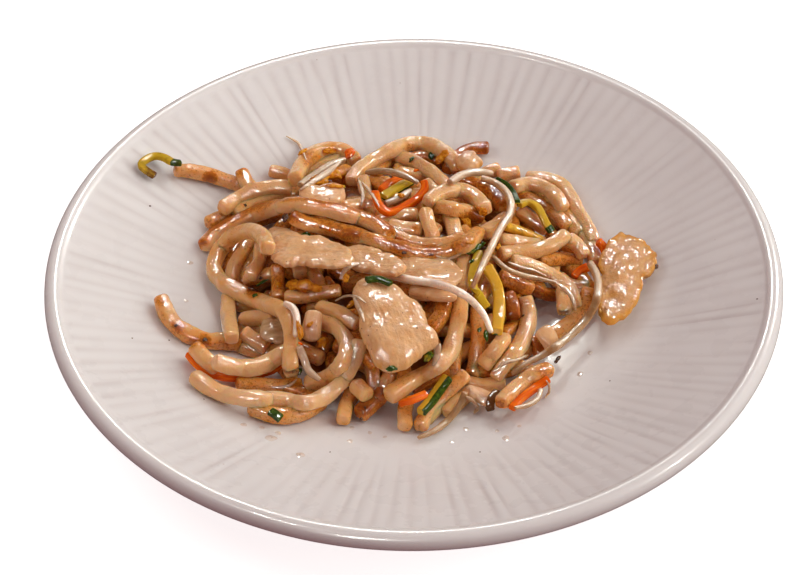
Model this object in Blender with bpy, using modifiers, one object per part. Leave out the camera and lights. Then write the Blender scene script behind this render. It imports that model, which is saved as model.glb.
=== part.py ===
"""Chicken udon: thick wheat noodles fried with chicken and vegetables, on a round fluted plate.

The noodles are one fused heap. The chicken, carrot, courgette, bean sprouts and egg that lie
in it are pieces of their own. Lengths are millimetres until a mesh is written, in metres.
The origin is under the middle of the plate, on the surface that the foot ring stands on.
"""

import math

import bmesh
import bpy
import numpy as np

MM = 0.001

# ---------------------------------------------------------------- the plate, mm
PLATE_RADIUS = 140.0
LIP_TOP = 35.0
LIP_ROUND = 3.8
WELL_TOP = 9.0
WELL_RADIUS = 40.0
CONE_START = 100.0
CONE_SLOPE = 0.39
WALL = 4.5
FOOT_OUTER = 72.0
FOOT_INNER = 66.0
FOOT_TAPER = 0.5
PLATE_STEPS = 64
LIP_RING = PLATE_RADIUS - LIP_ROUND
LIP_MIDDLE = LIP_TOP - LIP_ROUND
LIP_ARC_DEG = (137.5, 108.0, 78.0, 48.0, 18.0, -18.0, -55.0, -88.0, -118.0)
UPPER_RADII = (0.0, WELL_RADIUS, 60.0, 80.0, CONE_START, 117.0)
UNDER_RADII = (130.0, CONE_START, 85.0)

# ---------------------------------------------------------------- the heap, mm
HEAP_MIDDLE = (-3.0, 12.0)
HEAP_RADIUS = 78.0
HEAP_EDGE = 2.8
HEAP_RISE = 28.0
HEAP_FULLNESS = 0.7
CORE_MIDDLE = (-6.0, 14.0)
CORE_RADIUS = 69.0
CORE_DEPTH = 7.5
CORE_DENT = 15.0
CORE_DENT_DEG = -26.0
CORE_DENT_WIDTH_DEG = 15.0
CORE_SEGMENTS = 32
CORE_RINGS = 10
CORE_SHOULDER = 6
CORE_RIM = 0.8
CORE_LEVEL = -0.01

# How the pieces lie on each other, mm
PRESS = 1.5
CLEAR = 0.55
BEND_RADIUS = 15.0
STEEPEST = 1.0
SIDE_GROWTH = 1.05
SIDE_TURN = math.pi / 6.0
END_GIRTH = 0.8
WELD = 0.02
CHUNK_SQUARENESS = 0.7
CHUNK_LARGE = 12.0
RUFFLE_TURN = 0.42
STRAND_SPACING = 7.0
TURN_STEP_DEG = 30.0
CELL = 0.5
GRID_X = (-118.0, 104.0)
GRID_Y = (-74.0, 102.0)
SEARCH_TOP = 62.0
SEARCH_STEP = 0.25
FAR_BELOW = -1e9
FINE_POINTS = 60
CHORD_SAMPLES = 9
SETTLE_ROUNDS = 40

# ---------------------------------------------------------------- the sight lines
# The heap is laid out as an eye above the near side of the plate sees it: a piece is given by
# the picture points along its middle, and it lies where those sight lines meet what is under it.
PICTURE = (800, 575)
EYE_DISTANCE = 950.0
EYE_HEIGHT_DEG = 42.90
EYE_FOCUS = 2493.6
EYE_PAN_DEG = -0.31
EYE_NOD_DEG = -0.44
EYE_ROLL_DEG = -0.72
PIXELS_PER_MM = EYE_FOCUS / EYE_DISTANCE

SHARP_EDGE_DEG = 70.0

# Colour and roughness of each kind of piece
LOOKS = {
    "plate": ((0.70, 0.66, 0.64), 0.25),
    "noodle": ((0.55, 0.32, 0.15), 0.35),
    "sprout": ((0.66, 0.50, 0.36), 0.30),
    "carrot": ((0.62, 0.17, 0.02), 0.35),
    "courgette": ((0.22, 0.24, 0.04), 0.35),
    "egg": ((0.72, 0.38, 0.05), 0.45),
    "chicken": ((0.70, 0.50, 0.30), 0.45),
    "onion": ((0.60, 0.42, 0.28), 0.30),
}

# ---------------------------------------------------------------- the pile, bottom to top
# Strands: kind, name, width and thickness in mm, picture points along the middle.
# Chunks: kind, name, thickness and ruffle in mm, lean to +X and +Y, picture points round the outline.
PILE = (
    # far left and back
    ("noodle", "far_left", (5.4, 5.4), ((174, 170), (190, 171), (209, 175), (228, 181), (250, 188),
                                        (283, 198))),
    ("noodle", "far_knob", (6.0, 6.0), ((266, 197), (250, 187), (241, 172))),
    ("noodle", "back_end", (5.4, 5.4), ((207, 224), (222, 217), (256, 207))),
    ("noodle", "back_low", (5.7, 5.7), ((233, 214), (252, 203), (273, 196), (291, 192))),
    ("noodle", "back_long", (5.7, 5.7), ((222, 209), (239, 198), (257, 190), (276, 187), (292, 188))),
    ("noodle", "back_chip", (5.0, 5.0), ((269, 170), (284, 174), (298, 180))),
    ("noodle", "back_hump", (6.2, 6.2), ((295, 180), (302, 165), (313, 154), (328, 149), (344, 151),
                                         (357, 162))),
    ("sprout", "sprout_back", (3.2, 3.2), ((300, 185), (316, 174), (334, 163), (345, 159))),
    ("strip", "egg_back", (4.2, 2.2), ((313, 183), (324, 177), (337, 173), (350, 168))),
    ("chunk", "chicken_back", (6.0, 0.3), (0.0, 0.0), ((300, 191), (320, 189), (342, 187), (339, 205),
                                                       (318, 205), (301, 203))),
    ("noodle", "far_tip", (4.8, 4.8), ((447, 170), (454, 160), (463, 152), (476, 148), (489, 148))),
    ("noodle", "arch_inner", (5.4, 5.4), ((397, 158), (413, 161), (427, 169), (440, 180), (450, 190))),
    ("noodle", "arch", (5.7, 5.7), ((351, 182), (358, 171), (371, 162), (388, 152), (408, 144), (426, 144),
                                    (441, 150), (453, 160), (459, 170))),
    ("strip", "carrot_under", (3.1, 2.4), ((381, 190), (390, 183), (402, 178))),
    ("strip", "courgette_back", (4.0, 3.0), ((383, 197), (396, 189), (411, 181))),
    ("sprout", "sprout_inner", (3.0, 3.0), ((385, 204), (398, 199), (411, 190))),
    ("sprout", "sprout_top", (3.0, 3.0), ((366, 173), (380, 171), (396, 173), (409, 178), (418, 183))),
    ("noodle", "back_drop", (5.0, 5.0), ((364, 178), (365, 190), (370, 202))),
    ("noodle", "back_stub", (5.7, 5.7), ((343, 209), (358, 206), (372, 208), (380, 213))),
    ("strip", "carrot_loop", (3.1, 2.6), ((424, 181), (425, 188), (420, 196), (409, 204), (397, 210),
                                          (387, 212), (379, 205), (375, 193))),
    ("noodle", "middle_left", (5.7, 5.7), ((388, 226), (406, 229), (422, 231))),
    ("noodle", "middle_right", (5.7, 5.7), ((449, 214), (453, 226), (457, 240))),
    ("noodle", "crown_low", (5.7, 5.7), ((434, 206), (450, 208), (466, 212), (483, 217))),
    ("noodle", "crown", (5.7, 5.7), ((427, 203), (437, 195), (451, 190), (466, 192), (478, 200), (486, 210))),
    ("noodle", "middle_drop", (5.4, 5.4), ((425, 210), (428, 222), (434, 239))),
    ("noodle", "under_band", (4.4, 4.4), ((391, 233), (410, 241), (430, 244), (449, 242), (465, 235))),
    # far right
    ("chunk", "chicken_far", (5.0, 0.3), (0.0, 0.0), ((461, 156), (470, 152), (479, 158), (479, 168),
                                                      (468, 172), (460, 167))),
    ("noodle", "right_back", (5.4, 5.4), ((497, 177), (509, 174), (520, 172))),
    ("noodle", "right_low", (5.4, 5.4), ((550, 199), (561, 211), (571, 222), (579, 236))),
    ("noodle", "right_outer", (5.7, 5.7), ((526, 178), (546, 179), (562, 186), (571, 199), (580, 215),
                                           (589, 230), (594, 243))),
    ("noodle", "right_inner", (5.2, 5.2), ((518, 211), (532, 220), (548, 230))),
    ("noodle", "right_slant", (5.2, 5.2), ((516, 192), (535, 202), (552, 212), (568, 227))),
    ("noodle", "right_arch", (5.4, 5.4), ((512, 187), (530, 184), (545, 188), (556, 197), (564, 210))),
    ("strip", "courgette_arc", (3.1, 2.4), ((519, 205), (527, 202), (536, 206), (542, 215), (547, 225),
                                            (552, 232))),
    ("noodle", "ring_noodle", (5.7, 5.7), ((480, 184), (493, 193), (504, 207))),
    ("sprout", "sprout_far", (3.4, 3.4), ((450, 182), (462, 175), (476, 172), (492, 173))),
    ("strip", "courgette_rind", (2.6, 2.0), ((496, 180), (506, 185), (513, 193), (517, 202))),
    ("noodle", "ring_low", (5.4, 5.4), ((483, 234), (497, 225), (508, 216))),
    ("strip", "courgette_brown", (3.4, 2.6), ((505, 226), (523, 232), (542, 240))),
    ("noodle", "right_stub", (5.2, 5.2), ((500, 241), (520, 243), (541, 246))),
    ("noodle", "right_dark", (5.2, 5.2), ((538, 260), (560, 259), (582, 262))),
    ("noodle", "right_cross", (5.7, 5.7), ((499, 254), (518, 253), (538, 250), (555, 243), (566, 235))),
    ("noodle", "right_curl", (5.4, 5.4), ((567, 238), (577, 245), (585, 257))),
    ("strip", "carrot_stub", (3.2, 2.6), ((574, 277), (580, 271), (588, 267))),
    ("strip", "carrot_right", (3.4, 2.6), ((598, 241), (604, 248), (606, 258), (601, 268))),
    ("noodle", "right_bridge", (5.2, 5.2), ((572, 296), (582, 296), (593, 297))),
    ("noodle", "right_hollow", (5.4, 5.4), ((589, 287), (585, 303), (575, 318), (559, 331), (548, 338))),
    ("noodle", "right_wide", (6.2, 6.2), ((499, 276), (516, 283), (532, 288))),
    ("noodle", "right_glossy", (5.7, 5.7), ((511, 262), (530, 266), (548, 274), (562, 283), (572, 293),
                                            (575, 305))),
    ("noodle", "right_end", (5.7, 5.7), ((562, 288), (564, 299), (564, 310))),
    ("sprout", "sprout_thin", (2.2, 2.2), ((493, 257), (507, 269), (522, 275), (540, 279), (557, 283))),
    ("noodle", "front_brown_end", (5.4, 5.4), ((506, 292), (511, 305), (514, 318))),
    ("noodle", "corner_prop", (5.2, 5.2), ((498, 352), (512, 362), (527, 371), (538, 377))),
    ("noodle", "front_right_stub", (5.7, 5.7), ((505, 338), (494, 352), (482, 367))),
    ("noodle", "front_right_long", (5.7, 5.7), ((525, 296), (529, 314), (525, 334), (515, 353), (503, 367),
                                                (495, 379))),
    ("noodle", "front_brown", (5.0, 5.0), ((534, 336), (538, 347), (541, 357))),
    ("shred", "chicken_right", (6.4, 4.4), ((541, 328), (548, 338), (553, 348))),
    ("chunk", "chicken_slab", (3.6, 1.3), (0.05, 0.0), ((604, 252), (612, 239), (622, 229), (630, 236),
                                                       (645, 242), (656, 253), (656, 266), (641, 279),
                                                       (638, 296), (627, 316), (610, 326), (598, 321),
                                                       (600, 300), (603, 275))),
    ("sprout", "sprout_right", (3.3, 3.3), ((590, 263), (597, 277), (598, 292), (594, 307), (585, 321),
                                            (572, 334), (557, 346), (541, 356), (526, 364), (512, 374))),
    # middle front
    ("noodle", "front_gap_a", (5.2, 5.2), ((391, 374), (386, 383), (383, 392))),
    ("noodle", "front_gap_b", (5.2, 5.2), ((404, 366), (404, 376), (402, 388))),
    ("noodle", "front_gap_c", (5.0, 5.0), ((370, 363), (373, 377), (374, 391))),
    ("noodle", "middle_shade", (5.4, 5.4), ((349, 337), (363, 351), (377, 367))),
    ("noodle", "front_lean", (5.6, 5.6), ((467, 374), (452, 387), (438, 402), (426, 416), (420, 427))),
    ("shred", "chicken_front", (6.5, 4.4), ((467, 391), (479, 395), (491, 401))),
    ("noodle", "front_tail", (5.4, 5.4), ((354, 390), (346, 406), (343, 421))),
    ("noodle", "front_fried", (6.2, 6.2), ((384, 392), (371, 404), (359, 415))),
    ("noodle", "front_stub", (6.2, 6.2), ((354, 383), (361, 390), (368, 396))),
    ("noodle", "front_glossy", (5.5, 5.5), ((407, 398), (405, 412), (405, 427))),
    ("sprout", "sprout_front", (2.7, 2.7), ((465, 392), (460, 405), (451, 417), (440, 427), (428, 434),
                                            (418, 438))),
    ("strip", "courgette_front", (4.2, 3.2), ((448, 377), (438, 391), (430, 402), (421, 412))),
    ("noodle", "front_curl", (6.2, 6.2), ((446, 303), (440, 317), (429, 330))),
    ("noodle", "front_long", (6.0, 6.0), ((460, 300), (458, 320), (454, 340), (447, 357), (433, 369),
                                          (413, 380), (398, 390), (388, 397))),
    ("strip", "carrot_front", (2.9, 2.4), ((402, 403), (414, 399), (426, 394))),
    ("strip", "courgette_dark", (3.4, 2.6), ((498, 392), (491, 400), (490, 409))),
    ("noodle", "corner", (5.7, 5.7), ((550, 369), (535, 375), (520, 385), (508, 396), (501, 403))),
    ("strip", "carrot_corner", (2.9, 2.4), ((549, 379), (535, 388), (521, 399), (512, 408))),
    ("sprout", "sprout_corner", (2.2, 2.2), ((541, 389), (538, 398), (528, 405), (515, 408))),
    # near left
    ("noodle", "near_under", (5.7, 5.7), ((250, 406), (266, 413), (285, 416), (303, 412), (324, 401))),
    ("strip", "carrot_left", (3.6, 2.6), ((189, 354), (200, 367), (215, 375), (232, 377), (254, 374),
                                          (272, 369), (284, 361))),
    ("noodle", "near_rough", (4.6, 4.6), ((236, 383), (258, 384), (280, 386), (302, 384))),
    ("noodle", "near_edge", (5.8, 5.8), ((193, 375), (206, 385), (224, 394), (244, 398), (265, 399),
                                         (284, 400), (303, 403), (320, 399), (336, 388), (348, 372),
                                         (357, 354), (360, 340))),
    ("strip", "courgette_tip", (4.4, 2.2), ((270, 411), (275, 414), (281, 419))),
    ("noodle", "hook", (6.0, 6.0), ((161, 298), (167, 314), (180, 329), (195, 337), (210, 341), (226, 341),
                                    (242, 343))),
    ("noodle", "left_low_a", (5.7, 5.7), ((241, 320), (258, 318), (276, 318))),
    ("noodle", "left_low_b", (5.7, 5.7), ((242, 331), (255, 341), (268, 348))),
    ("chunk", "onion_left", (3.4, 0.2), (0.0, 0.0), ((269, 320), (281, 321), (288, 333), (284, 343),
                                                     (272, 342))),
    ("noodle", "near_stub", (5.7, 5.7), ((194, 347), (203, 357), (218, 369))),
    ("noodle", "near_middle", (6.0, 6.0), ((214, 361), (230, 366), (248, 368), (263, 365), (276, 358),
                                           (288, 350), (297, 343))),
    ("noodle", "left_post", (5.7, 5.7), ((229, 294), (228, 311), (230, 327), (232, 339))),
    ("noodle", "left_bar", (5.2, 5.2), ((244, 281), (257, 278), (274, 273))),
    ("noodle", "left_inner_b", (5.2, 5.2), ((261, 245), (259, 261), (250, 277))),
    ("noodle", "left_inner_a", (5.4, 5.4), ((249, 241), (240, 257), (233, 271), (232, 284))),
    ("noodle", "left_drop", (5.2, 5.2), ((277, 264), (278, 280), (279, 299))),
    ("noodle", "middle_bar", (4.8, 4.8), ((284, 297), (304, 297), (322, 293), (341, 290))),
    ("noodle", "middle_end", (6.2, 6.2), ((298, 262), (301, 275))),
    ("strip", "egg_left", (3.0, 2.2), ((288, 284), (303, 285), (321, 289))),
    ("noodle", "middle_pair", (5.7, 5.7), ((317, 308), (338, 313), (358, 326))),
    ("noodle", "loop", (5.5, 5.5), ((317, 321), (335, 327), (346, 341), (345, 357), (335, 371), (322, 380),
                                    (306, 384))),
    ("shred", "chicken_stub", (6.2, 4.6), ((314, 311), (312, 326), (312, 341))),
    # the top
    ("noodle", "middle_post", (5.4, 5.4), ((464, 256), (462, 271), (460, 290))),
    ("noodle", "brown_edge", (5.7, 5.7), ((204, 247), (213, 236), (228, 226), (245, 218), (265, 211),
                                          (283, 206), (301, 205), (320, 208), (342, 213), (363, 219),
                                          (381, 228), (391, 237))),
    ("noodle", "brown_crown", (5.7, 5.7), ((291, 215), (306, 223), (326, 227), (350, 234), (373, 240),
                                           (397, 247), (417, 253), (437, 254), (456, 249), (470, 241),
                                           (479, 232))),
    ("shred", "chicken_low", (6.0, 4.4), ((410, 290), (431, 294), (457, 295))),
    ("shred", "chicken_shred", (6.2, 4.4), ((405, 265), (430, 270), (455, 274))),
    ("strip", "courgette_yellow", (3.2, 2.6), ((479, 252), (474, 267), (472, 281), (478, 294), (487, 308))),
    ("strip", "courgette_baton", (4.3, 3.4), ((487, 267), (495, 281), (499, 297), (499, 315), (497, 332))),
    ("sprout", "sprout_long", (3.3, 3.3), ((356, 268), (374, 271), (393, 276), (412, 280), (432, 283),
                                           (450, 288), (464, 295), (476, 305), (485, 317), (491, 332))),
    ("shred", "chicken_top", (7.6, 5.0), ((347, 254), (371, 260), (398, 267))),
    ("shred", "chicken_left", (9.0, 6.0), ((280, 251), (298, 252), (320, 254), (343, 261))),
    ("chunk", "chicken_chunk", (11.0, 0.5), (-0.05, 0.12), ((353, 283), (371, 282), (392, 287), (408, 300),
                                                          (423, 312), (427, 330), (441, 341), (424, 351),
                                                          (410, 363), (392, 371), (378, 366), (368, 345),
                                                          (362, 315))),
    ("strip", "courgette_rind_middle", (2.8, 2.0), ((366, 280), (378, 279), (391, 284))),
    ("noodle", "left_loop", (5.9, 5.9), ((268, 249), (262, 236), (250, 231), (236, 235), (225, 244),
                                         (216, 258), (214, 270), (221, 281), (237, 291), (252, 299),
                                         (269, 305), (282, 311), (289, 323), (291, 340), (290, 358),
                                         (291, 374))),
    ("sprout", "sprout_left", (2.8, 2.8), ((284, 303), (293, 308), (297, 320), (295, 336))),
    ("sprout", "sprout_near", (3.0, 3.0), ((299, 346), (304, 359), (309, 371), (320, 380))),
    ("sprout", "sprout_ring", (3.2, 3.2), ((481, 178), (495, 183), (506, 192), (511, 204), (509, 215),
                                           (502, 226), (495, 239), (489, 252), (483, 264), (477, 277),
                                           (472, 288))),
    # on the open plate
    ("strip", "courgette_hook", (3.2, 2.2), ((155, 176), (147, 171), (141, 165), (147, 159), (156, 156),
                                             (165, 158), (172, 162), (181, 163))),
)


# ---------------------------------------------------------------- the plate's form
def plate_top(radius):
    """Height of the plate's upper face: a level well that curves into an even cone."""
    curve = np.clip(radius - WELL_RADIUS, 0.0, CONE_START - WELL_RADIUS)
    cone = np.clip(radius - CONE_START, 0.0, None)
    return WELL_TOP + CONE_SLOPE * (curve * curve / (2.0 * (CONE_START - WELL_RADIUS)) + cone)


def plate_profile():
    """The plate's half section: out along the top, round the lip, and back under to the foot."""
    upper = [(r, float(plate_top(r))) for r in UPPER_RADII]
    lip = [
        (LIP_RING + LIP_ROUND * math.cos(math.radians(a)), LIP_MIDDLE + LIP_ROUND * math.sin(math.radians(a)))
        for a in LIP_ARC_DEG
    ]
    under = [(r, float(plate_top(r)) - WALL) for r in UNDER_RADII + (FOOT_OUTER + FOOT_TAPER,)]
    foot = [
        (FOOT_OUTER, 0.0),
        (FOOT_INNER, 0.0),
        (FOOT_INNER - FOOT_TAPER, WELL_TOP - WALL),
        (0.0, WELL_TOP - WALL),
    ]
    return upper + lip + under + foot


# ---------------------------------------------------------------- sight lines
def eye_frame():
    """Where the eye is, and its forward, right and up directions."""
    height = math.radians(EYE_HEIGHT_DEG)
    to_eye = np.array([0.0, -math.cos(height), math.sin(height)])
    aim = -to_eye
    across = np.array([1.0, 0.0, 0.0])
    over = np.cross(across, aim)
    pan, nod, roll = (math.radians(a) for a in (EYE_PAN_DEG, EYE_NOD_DEG, EYE_ROLL_DEG))
    aim = aim + math.tan(pan) * across + math.tan(nod) * over
    aim /= np.linalg.norm(aim)
    across = np.cross(aim, (0.0, 0.0, 1.0))
    across /= np.linalg.norm(across)
    over = np.cross(across, aim)
    right = math.cos(roll) * across + math.sin(roll) * over
    up = math.cos(roll) * over - math.sin(roll) * across
    return to_eye * EYE_DISTANCE + (0.0, 0.0, LIP_MIDDLE), aim, right, up


EYE = eye_frame()


def on_sight_line(pixels, height):
    """The points at these heights on the sight lines through these picture points."""
    place, aim, right, up = EYE
    pixels = np.asarray(pixels, float)
    sideways = (pixels[..., :1] - PICTURE[0] / 2) / EYE_FOCUS
    upward = (PICTURE[1] / 2 - pixels[..., 1:]) / EYE_FOCUS
    line = aim + sideways * right + upward * up
    reach = (np.asarray(height, float) - place[2]) / line[..., 2]
    return place + line * reach[..., None]


# ---------------------------------------------------------------- the pile
def heap_middle_line(x, y):
    """Height of the middle of the topmost noodles over a place on the plate."""
    spread = ((x - HEAP_MIDDLE[0]) ** 2 + (y - HEAP_MIDDLE[1]) ** 2) / HEAP_RADIUS**2
    rise = HEAP_EDGE + HEAP_RISE * np.clip(1.0 - spread, 0.0, 1.0) ** HEAP_FULLNESS
    return plate_top(np.hypot(x, y)) + rise


def core_radius(angle):
    """Reach of the heap's hidden core, with a dent where the plate shows between the noodles."""
    turn = np.degrees(np.angle(np.exp(1j * (angle - math.radians(CORE_DENT_DEG)))))
    return CORE_RADIUS - CORE_DENT * np.exp(-((turn / CORE_DENT_WIDTH_DEG) ** 2))


def core_top(x, y):
    """Height of the core, which the lowest noodles lie on."""
    floor = plate_top(np.hypot(x, y)) + CLEAR
    dx, dy = x - CORE_MIDDLE[0], y - CORE_MIDDLE[1]
    out = np.hypot(dx, dy) / core_radius(np.arctan2(dy, dx))
    edge = np.clip(1.0 - out**CORE_SHOULDER, 0.0, 1.0) ** 0.5
    return floor + np.clip(heap_middle_line(x, y) - CORE_DEPTH - floor, 0.0, None) * edge


class Pile:
    """Two height maps: the heap that noodles fuse with, and all that a piece keeps clear of."""

    def __init__(self):
        self.x = np.arange(GRID_X[0], GRID_X[1], CELL)
        self.y = np.arange(GRID_Y[0], GRID_Y[1], CELL)
        x, y = np.meshgrid(self.x, self.y, indexing="ij")
        self.hard = plate_top(np.hypot(x, y))
        self.soft = core_top(x, y)

    def cell(self, point):
        """The row and column of the cell under a point."""
        i = np.clip(np.rint((point[..., 0] - GRID_X[0]) / CELL).astype(int), 0, len(self.x) - 1)
        j = np.clip(np.rint((point[..., 1] - GRID_Y[0]) / CELL).astype(int), 0, len(self.y) - 1)
        return i, j

    def clearance(self, heights, half_width, half_thick, square):
        """How high the middle of a piece must be, over each cell, not to enter this map."""
        reach = int(math.ceil(half_width / CELL))
        padded = np.pad(heights, reach, mode="edge")
        result = np.full_like(heights, FAR_BELOW)
        for i in range(-reach, reach + 1):
            for j in range(-reach, reach + 1):
                off = math.hypot(i, j) * CELL / half_width
                if off >= 1.0:
                    continue
                rise = half_thick * (1.0 if square else math.sqrt(1.0 - off * off))
                part = padded[reach + i:reach + i + heights.shape[0], reach + j:reach + j + heights.shape[1]]
                np.maximum(result, part + rise, out=result)
        return result

    def stamp(self, heights, points, half_width, half_thick, square):
        """Raise the map to the upper side of a piece that runs through these points."""
        reach = int(math.ceil(half_width / CELL))
        rows, columns = self.cell(points)
        for (px, py, pz), row, column in zip(points, rows, columns):
            i0, i1 = max(row - reach, 0), row + reach + 1
            j0, j1 = max(column - reach, 0), column + reach + 1
            off = np.hypot(self.x[i0:i1, None] - px, self.y[None, j0:j1] - py) / half_width
            rise = half_thick * (1.0 if square else np.sqrt(np.clip(1.0 - off * off, 0.0, 1.0)))
            patch = heights[i0:i1, j0:j1]
            np.maximum(patch, np.where(off < 1.0, pz + rise, FAR_BELOW), out=patch)

    def first_contact(self, pixels, field):
        """Coming down each sight line, the height at which it first meets the field."""
        levels = np.arange(SEARCH_TOP, 0.0, -SEARCH_STEP)
        points = on_sight_line(np.repeat(pixels[:, None, :], len(levels), axis=1), levels[None, :])
        rows, columns = self.cell(points)
        met = field[rows, columns] >= levels[None, :]
        return levels[np.argmax(met, axis=1)] + SEARCH_STEP


# ---------------------------------------------------------------- laying a strand
def smooth_route(points, count):
    """Evenly spaced points along a smooth curve through the given points."""
    given = np.array(points, float)
    if len(given) == 2:
        given = np.array([given[0], given.mean(axis=0), given[1]])
    along = np.concatenate(([0.0], np.cumsum(np.linalg.norm(np.diff(given, axis=0), axis=1))))
    slope = np.gradient(given, along, axis=0)
    at = np.linspace(0.0, along[-1], count)
    k = np.clip(np.searchsorted(along, at, side="right") - 1, 0, len(along) - 2)
    span = (along[k + 1] - along[k])[:, None]
    u = ((at - along[k])[:, None]) / span
    start = (1.0 + 2.0 * u) * (1.0 - u) ** 2 * given[k] + u * (1.0 - u) ** 2 * span * slope[k]
    end = u * u * (3.0 - 2.0 * u) * given[k + 1] + u * u * (u - 1.0) * span * slope[k + 1]
    return start + end


def route_count(points):
    """How many points a strand's mesh takes: enough for its length and for its turns."""
    fine = smooth_route(points, FINE_POINTS)
    steps = np.diff(fine, axis=0)
    length = np.linalg.norm(steps, axis=1).sum() / PIXELS_PER_MM
    heading = np.unwrap(np.arctan2(steps[:, 1], steps[:, 0]))
    turning = math.degrees(np.abs(np.diff(heading)).sum())
    return 1 + max(2, math.ceil(length / STRAND_SPACING), math.ceil(turning / TURN_STEP_DEG))


def rest_heights(needed, spacing):
    """Heights of a strand's points, so that it clears every sample and bends no tighter than it can."""
    segments = len(needed) // CHORD_SAMPLES
    shares = np.linspace(0.0, 1.0, CHORD_SAMPLES)
    heights = np.full(segments + 1, needed.min())
    sag = spacing * spacing / (2.0 * BEND_RADIUS)
    for _ in range(SETTLE_ROUNDS):
        for k in range(segments):
            chord = (1.0 - shares) * heights[k] + shares * heights[k + 1]
            lack = needed[k * CHORD_SAMPLES:(k + 1) * CHORD_SAMPLES] - chord
            worst = int(np.argmax(lack))
            if lack[worst] > 0.0:
                near, far = 1.0 - shares[worst], shares[worst]
                push = lack[worst] / (near * near + far * far)
                heights[k] += push * near
                heights[k + 1] += push * far
        if segments > 1:
            bridge = (heights[:-2] + heights[2:]) / 2.0 - sag
            heights[1:-1] = np.maximum(heights[1:-1], bridge)
        heights[1:] = np.maximum(heights[1:], heights[:-1] - STEEPEST * spacing)
        heights[:-1] = np.maximum(heights[:-1], heights[1:] - STEEPEST * spacing)
    return heights


def lay_strand(pile, kind, size, pixels):
    """Lay one strand on the pile, and return the points along its middle."""
    half_width, half_thick = size[0] / 2.0, size[1] / 2.0
    square = kind == "strip"
    press = PRESS if kind == "noodle" else -CLEAR
    soft = pile.clearance(pile.soft, half_width - max(press, 0.0), half_thick, square) - press
    hard = pile.clearance(pile.hard, half_width, half_thick, square) + CLEAR
    field = np.maximum(soft, hard)
    corners = smooth_route(pixels, route_count(pixels))
    shares = np.linspace(0.0, 1.0, CHORD_SAMPLES)[None, :, None]
    chords = corners[:-1, None, :] * (1.0 - shares) + corners[1:, None, :] * shares
    needed = pile.first_contact(chords.reshape(-1, 2), field)
    spacing = np.linalg.norm(np.diff(corners, axis=0), axis=1).mean() / PIXELS_PER_MM
    heights = rest_heights(needed, spacing)
    middle = on_sight_line(corners, heights)
    fine = middle[:-1, None, :] * (1.0 - shares) + middle[1:, None, :] * shares
    target = pile.soft if kind == "noodle" else pile.hard
    pile.stamp(target, fine.reshape(-1, 3), half_width, half_thick, square)
    return middle


# ---------------------------------------------------------------- laying a chunk
def chunk_surface(chunk, x, y, side):
    """Height of a chunk's upper (side 1) or lower (side -1) face, and how far out each place is."""
    dx, dy = x - chunk["middle"][0], y - chunk["middle"][1]
    edge = np.interp(np.arctan2(dy, dx), chunk["angles"], chunk["radii"], period=2.0 * math.pi)
    out = np.hypot(dx, dy) / edge
    full = np.clip(1.0 - out ** (2.0 / CHUNK_SQUARENESS), 0.0, 1.0) ** (CHUNK_SQUARENESS / 2.0)
    wave = chunk["ruffle"] * np.sin(RUFFLE_TURN * dx + 1.0) * np.cos(RUFFLE_TURN * dy)
    plane = chunk["middle"][2] + chunk["lean"][0] * dx + chunk["lean"][1] * dy
    return plane + wave + side * chunk["half"] * full, out


def place_chunk(size, lean, outline, height):
    """A chunk whose middle is at this height and whose outline lies on its own sight lines."""
    outline = np.array(outline, float)
    middle = on_sight_line(outline.mean(axis=0), height)
    high = on_sight_line(outline, height)
    low = on_sight_line(outline, height - 1.0)
    step = high - low
    off = high - middle
    lift = (lean[0] * off[:, 0] + lean[1] * off[:, 1]) / (1.0 - lean[0] * step[:, 0] - lean[1] * step[:, 1])
    off = off + step * lift[:, None]
    angles = np.arctan2(off[:, 1], off[:, 0])
    order = np.argsort(angles)
    radii = np.hypot(off[:, 0], off[:, 1])
    return {
        "middle": middle,
        "lean": lean,
        "half": size[0] / 2.0,
        "ruffle": size[1],
        "angles": angles[order],
        "radii": radii[order],
    }


def lay_chunk(pile, size, lean, outline):
    """Lower a chunk down its sight lines until it rests, and return it."""
    field = np.maximum(pile.soft, pile.hard) + CLEAR
    x, y = np.meshgrid(pile.x, pile.y, indexing="ij")
    rest = None
    for height in np.arange(SEARCH_TOP, 0.0, -SEARCH_STEP):
        chunk = place_chunk(size, lean, outline, height)
        under, out = chunk_surface(chunk, x, y, -1.0)
        if np.any((out < 1.0) & (field > under)):
            break
        rest = chunk
    top, out = chunk_surface(rest, x, y, 1.0)
    np.maximum(pile.hard, np.where(out < 1.0, top, FAR_BELOW), out=pile.hard)
    return rest


# ---------------------------------------------------------------- meshes
def new_object(name, data, collection):
    """An object for this mesh or curve in a collection."""
    item = bpy.data.objects.new(name, data)
    collection.objects.link(item)
    return item


def dress(item, kind):
    """Give a piece its own material, and shade it smooth except over its sharp edges."""
    item.data.shade_smooth()
    item.data.set_sharp_from_angle(angle=math.radians(SHARP_EDGE_DEG))
    colour, roughness = LOOKS[kind]
    material = bpy.data.materials.new(item.name + " finish")
    material.use_nodes = True
    shader = material.node_tree.nodes["Principled BSDF"]
    shader.inputs["Base Color"].default_value = (*colour, 1.0)
    shader.inputs["Roughness"].default_value = roughness
    item.data.materials.clear()
    item.data.materials.append(material)


def section_curve(name, kind, size, collection):
    """The flat outline that a strip (four corners) or a shred (six) has all along."""
    corners = 4 if kind == "strip" else 6
    turn = math.pi / corners if kind == "strip" else 0.0
    grow = math.sqrt(2.0) if kind == "strip" else SIDE_GROWTH
    outline = bpy.data.curves.new(name + " section", "CURVE")
    outline.dimensions = "2D"
    spline = outline.splines.new("POLY")
    spline.points.add(corners - 1)
    for k, point in enumerate(spline.points):
        angle = turn + 2.0 * math.pi * k / corners
        across = grow * size[0] / 2.0 * math.cos(angle)
        upward = grow * size[1] / 2.0 * math.sin(angle)
        point.co = (across * MM, upward * MM, 0.0, 1.0)
    spline.use_cyclic_u = True
    return new_object(name + " section", outline, collection)


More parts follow.
